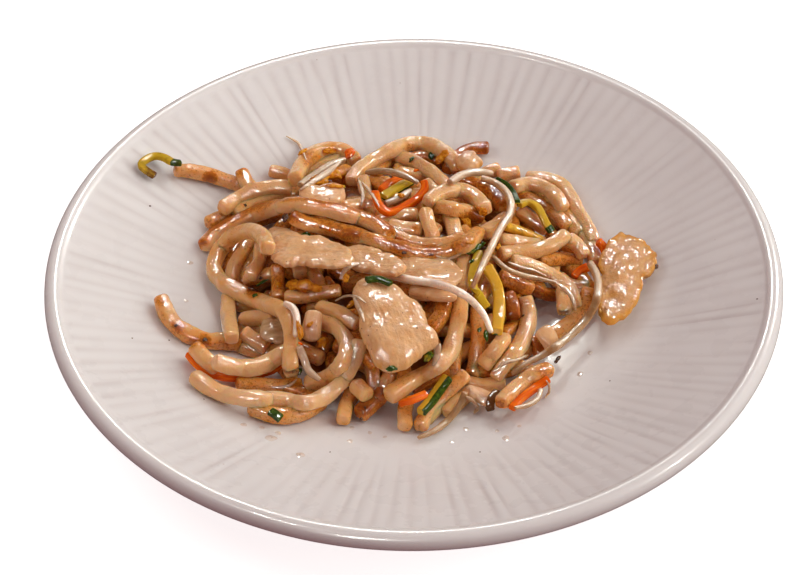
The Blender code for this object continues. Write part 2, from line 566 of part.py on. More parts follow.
def curve_to_mesh(item, collection):
    """Replace a curve object by a closed mesh with its caps welded."""
    bpy.context.view_layer.update()
    graph = bpy.context.evaluated_depsgraph_get()
    mesh = bpy.data.meshes.new_from_object(item.evaluated_get(graph))
    name, matrix = item.name, item.matrix_world.copy()
    bpy.data.objects.remove(item)
    shape = bmesh.new()
    shape.from_mesh(mesh)
    bmesh.ops.remove_doubles(shape, verts=shape.verts, dist=WELD * MM)
    bmesh.ops.recalc_face_normals(shape, faces=shape.faces)
    shape.to_mesh(mesh)
    shape.free()
    solid = new_object(name, mesh, collection)
    solid.matrix_world = matrix
    return solid


def make_strand(name, kind, size, middle, collection):
    """A noodle or sprout (six sides), a strip (four) or a shred (six, flattened)."""
    curve = bpy.data.curves.new(name, "CURVE")
    curve.dimensions = "3D"
    curve.use_fill_caps = True
    curve.twist_mode = "Z_UP"
    spline = curve.splines.new("POLY")
    spline.points.add(len(middle) - 1)
    ends = (0, len(middle) - 1)
    for k, (point, place) in enumerate(zip(spline.points, middle)):
        point.co = (*(place * MM), 1.0)
        point.radius = END_GIRTH if k in ends else 1.0
        point.tilt = 0.0 if kind in ("strip", "shred") else SIDE_TURN
    item = new_object(name, curve, collection)
    if kind in ("strip", "shred"):
        section = section_curve(name, kind, size, collection)
        curve.bevel_mode = "OBJECT"
        curve.bevel_object = section
        solid = curve_to_mesh(item, collection)
        bpy.data.objects.remove(section)
        return solid
    curve.bevel_depth = SIDE_GROWTH * size[0] / 2.0 * MM
    curve.bevel_resolution = 1
    return curve_to_mesh(item, collection)


def make_chunk(name, chunk, collection):
    """A ball drawn out to the chunk's outline and flattened to its two faces."""
    mesh = bpy.data.meshes.new(name)
    shape = bmesh.new()
    level = 3 if max(chunk["radii"]) > CHUNK_LARGE else 2
    bmesh.ops.create_icosphere(shape, subdivisions=level, radius=1.0)
    for vertex in shape.verts:
        out = math.hypot(vertex.co.x, vertex.co.y) ** CHUNK_SQUARENESS
        angle = math.atan2(vertex.co.y, vertex.co.x)
        edge = float(np.interp(angle, chunk["angles"], chunk["radii"], period=2.0 * math.pi))
        x = chunk["middle"][0] + min(out, 1.0) * edge * math.cos(angle)
        y = chunk["middle"][1] + min(out, 1.0) * edge * math.sin(angle)
        side = 1.0 if vertex.co.z > 0.0 else -1.0
        z = float(chunk_surface(chunk, x, y, side)[0])
        vertex.co = (x * MM, y * MM, z * MM)
    shape.to_mesh(mesh)
    shape.free()
    return new_object(name, mesh, collection)


def make_core(collection):
    """The heap's hidden middle: a ball shaped to the core's top and the plate under it."""
    mesh = bpy.data.meshes.new("noodles")
    shape = bmesh.new()
    bmesh.ops.create_uvsphere(shape, u_segments=CORE_SEGMENTS, v_segments=CORE_RINGS, radius=1.0)
    for vertex in shape.verts:
        reach = float(core_radius(math.atan2(vertex.co.y, vertex.co.x)))
        x = CORE_MIDDLE[0] + reach * vertex.co.x
        y = CORE_MIDDLE[1] + reach * vertex.co.y
        low = float(plate_top(math.hypot(x, y))) + CLEAR
        high = float(core_top(x, y))
        z = max(high, low + CORE_RIM) if vertex.co.z > CORE_LEVEL else low
        vertex.co = (x * MM, y * MM, z * MM)
    shape.to_mesh(mesh)
    shape.free()
    return new_object("noodles", mesh, collection)


def island_volume(faces):
    """The volume inside some faces, negative when they face inward."""
    total = 0.0
    for face in faces:
        first = face.verts[0].co
        for a, b in zip(face.verts[1:-1], face.verts[2:]):
            total += first.dot(a.co.cross(b.co)) / 6.0
    return total


def keep_largest_island(mesh):
    """Drop loose scraps and the walls of sealed hollows."""
    shape = bmesh.new()
    shape.from_mesh(mesh)
    waiting = set(shape.faces)
    islands = []
    while waiting:
        island, edge = set(), [waiting.pop()]
        while edge:
            face = edge.pop()
            island.add(face)
            near = {other for side in face.edges for other in side.link_faces} & waiting
            waiting -= near
            edge.extend(near)
        islands.append(island)
    islands.sort(key=island_volume)
    for island in islands[:-1]:
        bmesh.ops.delete(shape, geom=list(island), context="FACES")
    shape.to_mesh(mesh)
    shape.free()


def fuse_heap(core, pieces):
    """Join the core and the noodles on it into one closed body."""
    union = core.modifiers.new("fuse", "BOOLEAN")
    union.operation = "UNION"
    union.operand_type = "COLLECTION"
    union.collection = pieces
    union.solver = "EXACT"
    bpy.context.view_layer.update()
    graph = bpy.context.evaluated_depsgraph_get()
    mesh = bpy.data.meshes.new_from_object(core.evaluated_get(graph))
    core.modifiers.clear()
    core.data = mesh
    for piece in list(pieces.objects):
        bpy.data.objects.remove(piece)
    bpy.data.collections.remove(pieces)
    keep_largest_island(mesh)


def make_plate(collection):
    """The plate, turned from its half section."""
    mesh = bpy.data.meshes.new("plate")
    shape = bmesh.new()
    corners = [shape.verts.new((r * MM, 0.0, z * MM)) for r, z in plate_profile()]
    for a, b in zip(corners, corners[1:]):
        shape.edges.new((a, b))
    shape.to_mesh(mesh)
    shape.free()
    plate = new_object("plate", mesh, collection)
    turn = plate.modifiers.new("turn", "SCREW")
    turn.steps = PLATE_STEPS
    turn.render_steps = PLATE_STEPS
    turn.use_merge_vertices = True
    turn.merge_threshold = 0.00001
    turn.use_smooth_shade = True
    return plate


# ---------------------------------------------------------------- the whole dish
def clear_scene():
    for item in list(bpy.data.objects):
        bpy.data.objects.remove(item)


def main():
    clear_scene()
    dish = bpy.data.collections.new("Chicken udon")
    pieces = bpy.data.collections.new("Noodles to fuse")
    bpy.context.scene.collection.children.link(dish)
    bpy.context.scene.collection.children.link(pieces)
    dress(make_plate(dish), "plate")
    pile = Pile()
    for kind, name, size, *rest in PILE:
        if kind == "chunk":
            dress(make_chunk(name, lay_chunk(pile, size, *rest), dish), name.split("_")[0])
            continue
        middle = lay_strand(pile, kind, size, *rest)
        if kind == "noodle":
            make_strand(name, kind, size, middle, pieces)
            continue
        dress(make_strand(name, kind, size, middle, dish), name.split("_")[0])
    core = make_core(dish)
    fuse_heap(core, pieces)
    dress(core, "noodle")


main()
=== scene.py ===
# %% [markdown]
# # Chicken udon on a fluted plate
# Thick wheat noodles fried with chicken, bean sprouts, carrot and courgette lie in a loose heap
# on a round porcelain plate. The frame holds the dish as plain solids at their real size. This
# lesson dresses them: every solid is replaced by a finer mesh of the same form, in the same
# place, with a finish made of nodes. Lengths are millimetres until a mesh is written, in metres.

# %% The frame
import math

import bmesh
import bpy
import numpy as np
from mathutils import Matrix, Vector, noise


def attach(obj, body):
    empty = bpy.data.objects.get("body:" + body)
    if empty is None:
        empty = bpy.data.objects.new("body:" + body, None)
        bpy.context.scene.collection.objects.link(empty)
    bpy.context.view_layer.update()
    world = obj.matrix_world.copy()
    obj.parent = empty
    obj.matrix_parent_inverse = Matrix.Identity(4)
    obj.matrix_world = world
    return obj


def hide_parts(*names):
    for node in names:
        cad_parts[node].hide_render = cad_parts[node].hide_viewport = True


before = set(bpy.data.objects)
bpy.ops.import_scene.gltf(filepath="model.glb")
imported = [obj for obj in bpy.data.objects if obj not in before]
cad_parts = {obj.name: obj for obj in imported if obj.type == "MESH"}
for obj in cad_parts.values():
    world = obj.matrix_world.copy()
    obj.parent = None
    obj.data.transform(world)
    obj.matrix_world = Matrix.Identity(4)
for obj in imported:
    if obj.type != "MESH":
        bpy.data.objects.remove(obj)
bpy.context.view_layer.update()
MM = 0.001
BODY = "root"
print("solids in the frame:", len(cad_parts))


# %% [markdown]
# ## The eye
# The dish is seen from above its near side. The same eye also serves as a drawing aid: a piece
# of food is given by the picture points along its middle, and it lies where those sight lines
# meet what is under it. The camera could be placed by hand instead, but then the sight lines and
# the picture would drift apart, so one function gives both.

# %% Eye and camera
PICTURE = (800, 575)
EYE_DISTANCE = 950.0
EYE_HEIGHT_DEG = 42.90
EYE_FOCUS = 2493.6
EYE_PAN_DEG = -0.31
EYE_NOD_DEG = -0.44
EYE_ROLL_DEG = -0.72
PIXELS_PER_MM = EYE_FOCUS / EYE_DISTANCE
SENSOR = 36.0
FARTHEST_SEEN = 20.0
LIP_MIDDLE = 31.2


def eye_frame():
    """Where the eye is, and its forward, right and up directions."""
    height = math.radians(EYE_HEIGHT_DEG)
    to_eye = np.array([0.0, -math.cos(height), math.sin(height)])
    aim = -to_eye
    across = np.array([1.0, 0.0, 0.0])
    over = np.cross(across, aim)
    pan, nod, roll = (math.radians(a) for a in (EYE_PAN_DEG, EYE_NOD_DEG, EYE_ROLL_DEG))
    aim = aim + math.tan(pan) * across + math.tan(nod) * over
    aim /= np.linalg.norm(aim)
    across = np.cross(aim, (0.0, 0.0, 1.0))
    across /= np.linalg.norm(across)
    over = np.cross(across, aim)
    right = math.cos(roll) * across + math.sin(roll) * over
    up = math.cos(roll) * over - math.sin(roll) * across
    return to_eye * EYE_DISTANCE + (0.0, 0.0, LIP_MIDDLE), aim, right, up


EYE = eye_frame()


def on_sight_line(pixels, height):
    """The points at these heights on the sight lines through these picture points."""
    place, aim, right, up = EYE
    pixels = np.asarray(pixels, float)
    sideways = (pixels[..., :1] - PICTURE[0] / 2) / EYE_FOCUS
    upward = (PICTURE[1] / 2 - pixels[..., 1:]) / EYE_FOCUS
    line = aim + sideways * right + upward * up
    reach = (np.asarray(height, float) - place[2]) / line[..., 2]
    return place + line * reach[..., None]


def put_camera():
    """A camera at the eye."""
    place, aim, right, up = EYE
    data = bpy.data.cameras.new("camera")
    data.sensor_width = SENSOR
    data.lens = EYE_FOCUS / PICTURE[0] * SENSOR
    data.clip_end = FARTHEST_SEEN
    camera = bpy.data.objects.new("camera", data)
    camera.matrix_world = Matrix.Translation(Vector(place * MM)) @ Matrix(
        [[right[k], up[k], -aim[k]] for k in range(3)]
    ).to_4x4()
    bpy.context.scene.collection.objects.link(camera)
    bpy.context.scene.camera = camera
    return camera


camera = put_camera()
print("camera at", [round(v, 3) for v in camera.matrix_world.translation])
print("lens, mm:", round(camera.data.lens, 1))


# %% [markdown]
# ## Light and floor
# The dish stands on a plain pale floor. A wide soft lamp on the right gives most of its light:
# the plate's left side, which faces it, is bright, and its right side is dim. A small one high
# at the back draws the crisp shadow in front of the heap. A weaker one at the near left, and one
# close by on the left, keep the other shadows faint. Wide lamps and sky mirrored in gloss would
# grey the food, so they aren't seen in it; a few small strong lamps are seen only in gloss, and
# give the wet glints. One small lamp for all would also do, but with hard shadows everywhere.

# %% Light
# place in m, width in m, watts, seen in gloss only
LAMPS = (
    ((2.52, 0.07, 1.63), 4.20, 113.0, False),
    ((0.55, 1.50, 2.10), 0.30, 7.0, False),
    ((-1.50, -2.10, 1.50), 2.50, 9.0, False),
    ((-0.32, 0.02, 0.34), 0.25, 0.38, False),
    ((-0.25, -0.98, 0.86), 0.26, 26.0, True),
    ((-0.02, 0.95, 0.90), 0.20, 16.0, True),
    ((0.80, 0.78, 0.64), 0.22, 18.0, True),
    ((1.10, -0.25, 0.75), 0.20, 14.0, True),
    ((-0.50, -0.35, 1.10), 0.20, 14.0, True),
)
LAMP_COLOUR = (0.95, 0.99, 0.93)
SKY_COLOUR = (1.0, 0.48, 0.52)
SKY_STRENGTH = 0.22


def put_light():
    """The lamps, aimed at the dish, and an even sky."""
    for k, (place, width, watts, gloss_only) in enumerate(LAMPS):
        data = bpy.data.lights.new(f"lamp {k}", "AREA")
        data.shape = "DISK"
        data.size = width
        data.energy = watts
        data.color = LAMP_COLOUR
        lamp = bpy.data.objects.new(f"lamp {k}", data)
        lamp.location = place
        lamp.rotation_euler = (-Vector(place)).to_track_quat("-Z", "Y").to_euler()
        lamp.visible_glossy = gloss_only
        lamp.visible_diffuse = not gloss_only
        bpy.context.scene.collection.objects.link(lamp)
    world = bpy.data.worlds.new("even sky")
    world.use_nodes = True
    sky = world.node_tree.nodes["Background"]
    sky.inputs["Color"].default_value = (*SKY_COLOUR, 1.0)
    sky.inputs["Strength"].default_value = SKY_STRENGTH
    bpy.context.scene.world = world
    world.cycles_visibility.glossy = False


put_light()
bpy.context.scene.view_settings.view_transform = "Standard"
print("lamps:", len(LAMPS))


# %% [markdown]
# ## Finishes from nodes
# Food is never one flat colour. Each finish below mixes a few colours by soft noise and by
# values that the meshes carry, such as how toasted a noodle is. Painting pictures for them would
# give more control, but nodes stay sharp at every size and need no files. A small helper keeps
# the node code short.

# %% A helper for finishes
class Look:
    """A material whose colour, gloss and relief come from nodes."""

    def __init__(self, name):
        self.material = bpy.data.materials.new(name)
        self.material.use_nodes = True
        self.tree = self.material.node_tree
        self.shader = self.tree.nodes["Principled BSDF"]
        self.place = self.add("ShaderNodeTexCoord").outputs["Object"]

    def add(self, kind, **settings):
        """A new node with these settings."""
        node = self.tree.nodes.new(kind)
        for key, value in settings.items():
            setattr(node, key, value)
        return node

    def put(self, value, socket):
        """Link an output to a socket, or set the socket's own value."""
        if isinstance(value, bpy.types.NodeSocket):
            self.tree.links.new(value, socket)
        else:
            socket.default_value = value

    def value(self, name):
        """A number that the mesh carries at each point."""
        return self.add("ShaderNodeAttribute", attribute_name=name).outputs["Fac"]

    def grain(self, name, scale):
        """Noise coordinates that the mesh carries, stretched by scale."""
        vector = self.add("ShaderNodeAttribute", attribute_name=name).outputs["Vector"]
        stretch = self.add("ShaderNodeMapping")
        self.put(vector, stretch.inputs["Vector"])
        stretch.inputs["Scale"].default_value = scale
        return stretch.outputs["Vector"]

    def noise(self, size_mm, detail=3.0, rough=0.55, at=None):
        """Soft noise, from 0 to 1, with features of about this size."""
        node = self.add("ShaderNodeTexNoise")
        unit = MM if at is None else 1.0
        node.inputs["Scale"].default_value = 1.0 / (size_mm * unit)
        node.inputs["Detail"].default_value = detail
        node.inputs["Roughness"].default_value = rough
        self.put(self.place if at is None else at, node.inputs["Vector"])
        return node.outputs["Fac"]

    def spots(self, size_mm):
        """Distance to the nearest of many scattered points, in cells."""
        node = self.add("ShaderNodeTexVoronoi")
        node.inputs["Scale"].default_value = 1.0 / (size_mm * MM)
        self.put(self.place, node.inputs["Vector"])
        return node.outputs["Distance"]

    def math(self, kind, a, b, clamp=False):
        """One sum on two numbers."""
        node = self.add("ShaderNodeMath", operation=kind, use_clamp=clamp)
        self.put(a, node.inputs[0])
        self.put(b, node.inputs[1])
        return node.outputs["Value"]

    def times(self, a, b):
        """Two numbers multiplied."""
        return self.math("MULTIPLY", a, b)

    def swing(self, base, cloud, amount, clamp=False):
        """A number that noise pushes up and down, by this amount from its least to its most."""
        swung = self.times(self.math("SUBTRACT", cloud, 0.5), amount)
        return self.math("ADD", base, swung, clamp)

    def blend(self, a, b, share):
        """A share of one noise and the rest of another."""
        return self.math("ADD", self.times(a, share), self.times(b, 1.0 - share))

    def span(self, a, low, high, to_low=0.0, to_high=1.0):
        """A number moved from one range to another, and kept inside it."""
        node = self.add("ShaderNodeMapRange", interpolation_type="SMOOTHSTEP")
        self.put(a, node.inputs["Value"])
        node.inputs["From Min"].default_value = low
        node.inputs["From Max"].default_value = high
        node.inputs["To Min"].default_value = to_low
        node.inputs["To Max"].default_value = to_high
        return node.outputs["Result"]

    def mix(self, share, a, b):
        """Two colours mixed by a share."""
        node = self.add("ShaderNodeMix", data_type="RGBA", blend_type="MIX", clamp_factor=True)
        self.put(share, node.inputs[0])
        self.put((*a, 1.0) if isinstance(a, tuple) else a, node.inputs[6])
        self.put((*b, 1.0) if isinstance(b, tuple) else b, node.inputs[7])
        return node.outputs[2]

    def ramp(self, value, *stops):
        """A colour for each value, between stops of place and colour."""
        node = self.add("ShaderNodeValToRGB")
        line = node.color_ramp
        while len(line.elements) < len(stops):
            line.elements.new(0.5)
        for element, (at, colour) in zip(line.elements, stops):
            element.position = at
            element.color = (*colour, 1.0)
        self.put(value, node.inputs["Fac"])
        return node.outputs["Color"]

    def relief(self, *layers):
        """Bumps of these heights and depths in mm, one over the other."""
        normal = None
        for height, depth in layers:
            node = self.add("ShaderNodeBump")
            node.inputs["Distance"].default_value = depth * MM
            self.put(height, node.inputs["Height"])
            if normal is not None:
                self.put(normal, node.inputs["Normal"])
            normal = node.outputs["Normal"]
        self.put(normal, self.shader.inputs["Normal"])
        self.put(normal, self.shader.inputs["Coat Normal"])

    def set(self, **sockets):
        """Values or outputs for the shader's sockets, named with _ for a space."""
        for key, value in sockets.items():
            self.put(value, self.shader.inputs[key.replace("_", " ")])
        return self.material


OIL_IOR = 1.46


def flesh(look, weight, depth_mm, tint):
    """Light that sinks in and comes out again, as in noodles, meat and sprouts."""
    look.set(Subsurface_Weight=weight, Subsurface_Scale=depth_mm * MM, Subsurface_Radius=tint)


def gloss(look, cloud, smooth, dull, shine):
    """Gloss that changes with soft noise between two roughnesses, and how strong its shine is."""
    look.set(Roughness=look.span(cloud, 0.3, 0.7, smooth, dull), Specular_IOR_Level=shine)


def oil_film(look, weight, roughness):
    """The thin clear coat of hot oil on the food."""
    look.set(Coat_Weight=weight, Coat_Roughness=roughness, Coat_IOR=OIL_IOR)


# %% The floor
FLOOR_SIZE = 8.0
FLOOR_GLOW = 0.75


def make_floor():
    """A plain pale floor under the plate's foot, which throws no light back at the dish."""
    mesh = bpy.data.meshes.new("floor")
    half = FLOOR_SIZE / 2.0
    corners = [(-half, -half, 0), (half, -half, 0), (half, half, 0), (-half, half, 0)]
    mesh.from_pydata(corners, [], [(0, 1, 2, 3)])
    floor = bpy.data.objects.new("floor", mesh)
    bpy.context.scene.collection.objects.link(floor)
    look = Look("pale floor")
    cloud = look.noise(420.0, 2.0)
    tint = look.ramp(cloud, (0.3, (0.86, 0.855, 0.85)), (0.7, (0.89, 0.885, 0.88)))
    look.set(Base_Color=tint, Roughness=0.9)
    look.set(Emission_Color=(1.0, 1.0, 1.0, 1.0), Emission_Strength=FLOOR_GLOW)
    mesh.materials.append(look.material)
    floor.visible_diffuse = False
    floor.visible_glossy = False
    return floor


floor = make_floor()
print("floor side, m:", FLOOR_SIZE)


# %% [markdown]
# ## The plate
# A white porcelain plate, 28 cm across, with a rounded lip and fine radial fluting on its
# sloping side. The form is one half section carried round the middle, as a potter's template
# does it. A Screw modifier could turn it, but the flutes change the height from angle to angle,
# so the rings of points are worked out here, with the flutes cut in as real relief.

# %% The plate's half section
PLATE_RADIUS = 140.0
LIP_ROUND = 3.8
WELL_TOP = 9.0
WELL_RADIUS = 40.0
CONE_START = 100.0
CONE_SLOPE = 0.39
WALL = 4.5
FOOT_OUTER = 72.0
FOOT_INNER = 66.0
FOOT_TAPER = 0.5
FOOT_ROUND = 0.8
LIP_RING = PLATE_RADIUS - LIP_ROUND
FLUTES = 122
FLUTE_STEPS = 8
FLUTE_DEPTH = 0.24
FLUTE_SEED = 5
FLUTE_UNEVEN = 0.22
FLUTE_DEPTHS = (0.35, 1.0)
FLUTE_FADE = (80.0, 108.0)
FLUTE_END = (131.5, 133.5)
GROOVE_SHARPNESS = 3.0
FLUTE_SWAY_MM = 21.0


def plate_top(radius):
    """Height of the plate's upper face: a level well that curves into an even cone."""
    curve = np.clip(radius - WELL_RADIUS, 0.0, CONE_START - WELL_RADIUS)
    cone = np.clip(radius - CONE_START, 0.0, None)
    bowl = curve * curve / (2.0 * (CONE_START - WELL_RADIUS))
    return WELL_TOP + CONE_SLOPE * (bowl + cone)


def plate_section():
    """The half section, from the middle out along the top, round the lip, and back under."""
    across_top = (*np.arange(0.5, 80.0, 4.0), *np.arange(80.0, 131.0, 2.0), 131.5, 132.5, 133.3)
    upper = [(r, float(plate_top(r))) for r in across_top]
    round_lip = np.radians(np.arange(132.0, -118.0, -11.0))
    lip = [(LIP_RING + LIP_ROUND * math.cos(a), LIP_MIDDLE + LIP_ROUND * math.sin(a))
           for a in round_lip]
    under = [(r, float(plate_top(r)) - WALL) for r in np.arange(130.0, 76.0, -6.0)]
    foot = [
        (FOOT_OUTER + FOOT_TAPER, float(plate_top(FOOT_OUTER)) - WALL),
        (FOOT_OUTER, FOOT_ROUND),
        (FOOT_OUTER - FOOT_ROUND, 0.0),
        (FOOT_INNER + FOOT_ROUND, 0.0),
        (FOOT_INNER, FOOT_ROUND),
        (FOOT_INNER - FOOT_TAPER, WELL_TOP - WALL),
        (40.0, WELL_TOP - WALL),
        (0.5, WELL_TOP - WALL),
    ]
    return np.array(upper + lip + under + foot), len(upper)


# %% Flutes
def flute_angles():
    """Angles round the plate, a few to each flute, with flutes a little uneven in width."""
    draw = np.random.default_rng(FLUTE_SEED)
    widths = 1.0 + FLUTE_UNEVEN * draw.uniform(-1.0, 1.0, FLUTES)
    edges = np.concatenate(([0.0], np.cumsum(widths))) / widths.sum() * 2.0 * math.pi
    share = np.arange(FLUTE_STEPS) / FLUTE_STEPS
    angles = edges[:-1, None] + share[None, :] * np.diff(edges)[:, None]
    return angles.ravel(), draw.uniform(*FLUTE_DEPTHS, FLUTES)


def flute_relief(radius, depths):
    """How far the face drops at each angle of one ring: a broad rise between narrow grooves."""
    share = np.arange(FLUTE_STEPS) / FLUTE_STEPS
    groove = np.abs(np.cos(math.pi * share)) ** GROOVE_SHARPNESS
    fade = np.interp(radius, FLUTE_FADE, (0.0, 1.0)) * np.interp(radius, FLUTE_END, (1.0, 0.0))
    places = [Vector((radius / FLUTE_SWAY_MM, k * 1.7, 0.0)) for k in range(FLUTES)]
    sway = np.array([noise.noise(place) for place in places])
    depth = FLUTE_DEPTH * fade * depths * (0.75 + 0.9 * sway)
    return (np.clip(depth, 0.0, None)[:, None] * groove[None, :]).ravel()


def new_piece(name, points, faces, look, slot, *nodes, values=None):
    """An object from points in mm, with its finish, that rides on the dish for its nodes."""
    mesh = bpy.data.meshes.new(name)
    corners = [tuple(int(k) for k in face) for face in faces]
    mesh.from_pydata((np.asarray(points) * MM).tolist(), [], corners)
    for key, numbers in (values or {}).items():
        flat = np.asarray(numbers, np.float32)
        kind = "FLOAT" if flat.ndim == 1 else "FLOAT_VECTOR"
        layer = mesh.attributes.new(key, kind, "POINT")
        layer.data.foreach_set("value" if flat.ndim == 1 else "vector", flat.ravel())
    mesh.shade_smooth()
    mesh.materials.append(look.material)
    piece = bpy.data.objects.new(name, mesh)
    bpy.context.scene.collection.objects.link(piece)
    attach(piece, BODY)
    if nodes:
        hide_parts(*nodes)
    return piece


def ring_faces(rings, sides):
    """Quads between rings of points that follow one another."""
    k = np.arange(sides)
    following = (k + 1) % sides
    rows = np.arange(rings - 1)[:, None] * sides
    above = rows + sides
    quads = np.stack((rows + k, above + k, above + following, rows + following), axis=-1)
    return quads.reshape(-1, 4)


def stacked(rings):
    """The points and faces of a stack of rings, with its first and last ring closed."""
    sides = len(rings[0])
    last = (len(rings) - 1) * sides
    faces = ring_faces(len(rings), sides).tolist()
    faces.append(list(range(sides))[::-1])
    faces.append([last + k for k in range(sides)])
    return np.concatenate(rings), faces


def glaze_look():
    """White glaze: hard gloss, faintly warm, with the odd pinhole and grooves darkened, mostly as
    painted shade.
    """
    look = Look("white glaze")
    cloud = look.noise(38.0, 4.0)
    tint = look.ramp(cloud, (0.30, (0.735, 0.708, 0.701)), (0.70, (0.772, 0.752, 0.745)))
    pin = look.span(look.spots(9.0), 0.020, 0.045)
    few = look.span(look.noise(17.0, 1.0), 0.60, 0.66)
    pinhole = look.times(few, look.math("SUBTRACT", 1.0, pin))
    tint = look.mix(look.times(pinhole, 0.55), tint, (0.34, 0.22, 0.16))
    # Darker in the flute grooves: mostly painted shade of the narrow grooves, partly glaze pooled
    # in them.
    tint = look.mix(look.times(look.value("groove"), 0.42), tint, (0.50, 0.43, 0.42))
    rough = look.span(look.noise(11.0, 3.0), 0.3, 0.8, 0.24, 0.38)
    look.relief((look.noise(9.0, 2.0), 0.03))
    look.set(Base_Color=tint, Roughness=rough, Specular_IOR_Level=0.12)
    flesh(look, 0.12, 1.6, (1.0, 0.75, 0.60))
    look.set(Coat_Weight=0.12, Coat_Roughness=0.06)
    return look


def make_plate():
    """The plate's rings, with the flutes cut into the upper ones."""
    angles, depths = flute_angles()
    section, upper = plate_section()
    rings, grooves = [], []
    for k, (radius, height) in enumerate(section):
        drop = flute_relief(radius, depths) if k < upper else 0.0 * angles
        grooves.append(drop / FLUTE_DEPTH)
        x, y = radius * np.cos(angles), radius * np.sin(angles)
        rings.append(np.stack((x, y, height - drop), 1))
    points = np.concatenate(rings)
    sides = len(angles)
    faces = ring_faces(len(rings), sides).tolist()
    top, bottom = len(points), len(points) + 1
    last = (len(rings) - 1) * sides
    points = np.vstack((points, (0.0, 0.0, WELL_TOP), (0.0, 0.0, WELL_TOP - WALL)))
    for k in range(sides):
        faces.append((top, k, (k + 1) % sides))
        faces.append((bottom, last + (k + 1) % sides, last + k))
    # the groove depth, which the glaze turns into painted shade
    values = {"groove": np.concatenate((*grooves, (0.0, 0.0)))}
    return new_piece(
        "fluted_plate", points, faces, glaze_look(), "glaze", "plate", values=values)


plate = make_plate()
print("plate faces:", len(plate.data.polygons))


# %% [markdown]
# ## How the food lies
# The heap is laid from the bottom up. Each piece has a few picture points along its middle and
# comes down its sight lines until it touches what lies there already, like a noodle dropped on
# a plate. A physics simulation could drop them too, but it wouldn't land them in this heap.
# Two maps of heights keep the record: one of the noodles, which stick to each other, and one of
# the plate and the other food, which everything keeps clear of.

# %% The heap's envelope and hidden middle
HEAP_MIDDLE = (-3.0, 12.0)
HEAP_RADIUS = 78.0
HEAP_EDGE = 2.8
HEAP_RISE = 28.0
HEAP_FULLNESS = 0.7
CORE_MIDDLE = (-6.0, 14.0)
CORE_RADIUS = 69.0
CORE_DEPTH = 7.5
CORE_DENT = 15.0
CORE_DENT_DEG = -26.0
CORE_DENT_WIDTH_DEG = 15.0
CORE_SHOULDER = 6
CLEAR = 0.55


def heap_middle_line(x, y):
    """Height of the middle of the topmost noodles over a place on the plate."""
    spread = ((x - HEAP_MIDDLE[0]) ** 2 + (y - HEAP_MIDDLE[1]) ** 2) / HEAP_RADIUS**2
    rise = HEAP_EDGE + HEAP_RISE * np.clip(1.0 - spread, 0.0, 1.0) ** HEAP_FULLNESS
    return plate_top(np.hypot(x, y)) + rise


def core_radius(angle):
    """Reach of the heap's hidden core, with a dent where the plate shows between the noodles."""
    turn = np.degrees(np.angle(np.exp(1j * (angle - math.radians(CORE_DENT_DEG)))))
    return CORE_RADIUS - CORE_DENT * np.exp(-((turn / CORE_DENT_WIDTH_DEG) ** 2))


def spread_of(x, y):
    """How far out a place is in the heap: 0 in its middle and 1 at the core's edge."""
    dx, dy = x - CORE_MIDDLE[0], y - CORE_MIDDLE[1]
    return np.hypot(dx, dy) / core_radius(np.arctan2(dy, dx))


def core_top(x, y, depth=CORE_DEPTH):
    """Height of the core, which the lowest noodles lie on."""
    floor = plate_top(np.hypot(x, y)) + CLEAR
    edge = np.clip(1.0 - spread_of(x, y) ** CORE_SHOULDER, 0.0, 1.0) ** 0.5
    return floor + np.clip(heap_middle_line(x, y) - depth - floor, 0.0, None) * edge


print("top of the heap's middle line, mm:", round(float(heap_middle_line(*HEAP_MIDDLE)), 1))


# %% Maps of heights
PRESS = 1.5
CELL = 0.5
GRID_X = (-118.0, 104.0)
GRID_Y = (-74.0, 102.0)
SEARCH_TOP = 62.0
SEARCH_STEP = 0.25
FAR_BELOW = -1e9


class Pile:
    """Two height maps: the heap that noodles fuse with, and all that a piece keeps clear of."""

    def __init__(self):
        self.x = np.arange(GRID_X[0], GRID_X[1], CELL)
        self.y = np.arange(GRID_Y[0], GRID_Y[1], CELL)
        x, y = np.meshgrid(self.x, self.y, indexing="ij")
        self.hard = plate_top(np.hypot(x, y))
        self.soft = core_top(x, y)

    def cell(self, point):
        """The row and column of the cell under a point."""
        i = np.rint((point[..., 0] - GRID_X[0]) / CELL).astype(int)
        j = np.rint((point[..., 1] - GRID_Y[0]) / CELL).astype(int)
        return np.clip(i, 0, len(self.x) - 1), np.clip(j, 0, len(self.y) - 1)

    def clearance(self, heights, half_width, half_thick, square):
        """How high the middle of a piece must be, over each cell, not to enter this map."""
        reach = int(math.ceil(half_width / CELL))
        padded = np.pad(heights, reach, mode="edge")
        result = np.full_like(heights, FAR_BELOW)
        for i in range(-reach, reach + 1):
            for j in range(-reach, reach + 1):
                off = math.hypot(i, j) * CELL / half_width
                if off >= 1.0:
                    continue
                rise = half_thick * (1.0 if square else math.sqrt(1.0 - off * off))
                a, b = reach + i, reach + j
                part = padded[a:a + heights.shape[0], b:b + heights.shape[1]]
                np.maximum(result, part + rise, out=result)
        return result

    def stamp(self, heights, points, half_width, half_thick, square):
        """Raise the map to the upper side of a piece that runs through these points."""
        reach = int(math.ceil(half_width / CELL))
        rows, columns = self.cell(points)
        for (px, py, pz), row, column in zip(points, rows, columns):
            i0, i1 = max(row - reach, 0), row + reach + 1
            j0, j1 = max(column - reach, 0), column + reach + 1
            off = np.hypot(self.x[i0:i1, None] - px, self.y[None, j0:j1] - py) / half_width
            rise = half_thick * (1.0 if square else np.sqrt(np.clip(1.0 - off * off, 0.0, 1.0)))
            patch = heights[i0:i1, j0:j1]
            np.maximum(patch, np.where(off < 1.0, pz + rise, FAR_BELOW), out=patch)

    def first_contact(self, pixels, field):
        """Coming down each sight line, the height at which it first meets the field."""
        levels = np.arange(SEARCH_TOP, 0.0, -SEARCH_STEP)
        lines = np.repeat(pixels[:, None, :], len(levels), axis=1)
        points = on_sight_line(lines, levels[None, :])
        rows, columns = self.cell(points)
        met = field[rows, columns] >= levels[None, :]
        return levels[np.argmax(met, axis=1)] + SEARCH_STEP


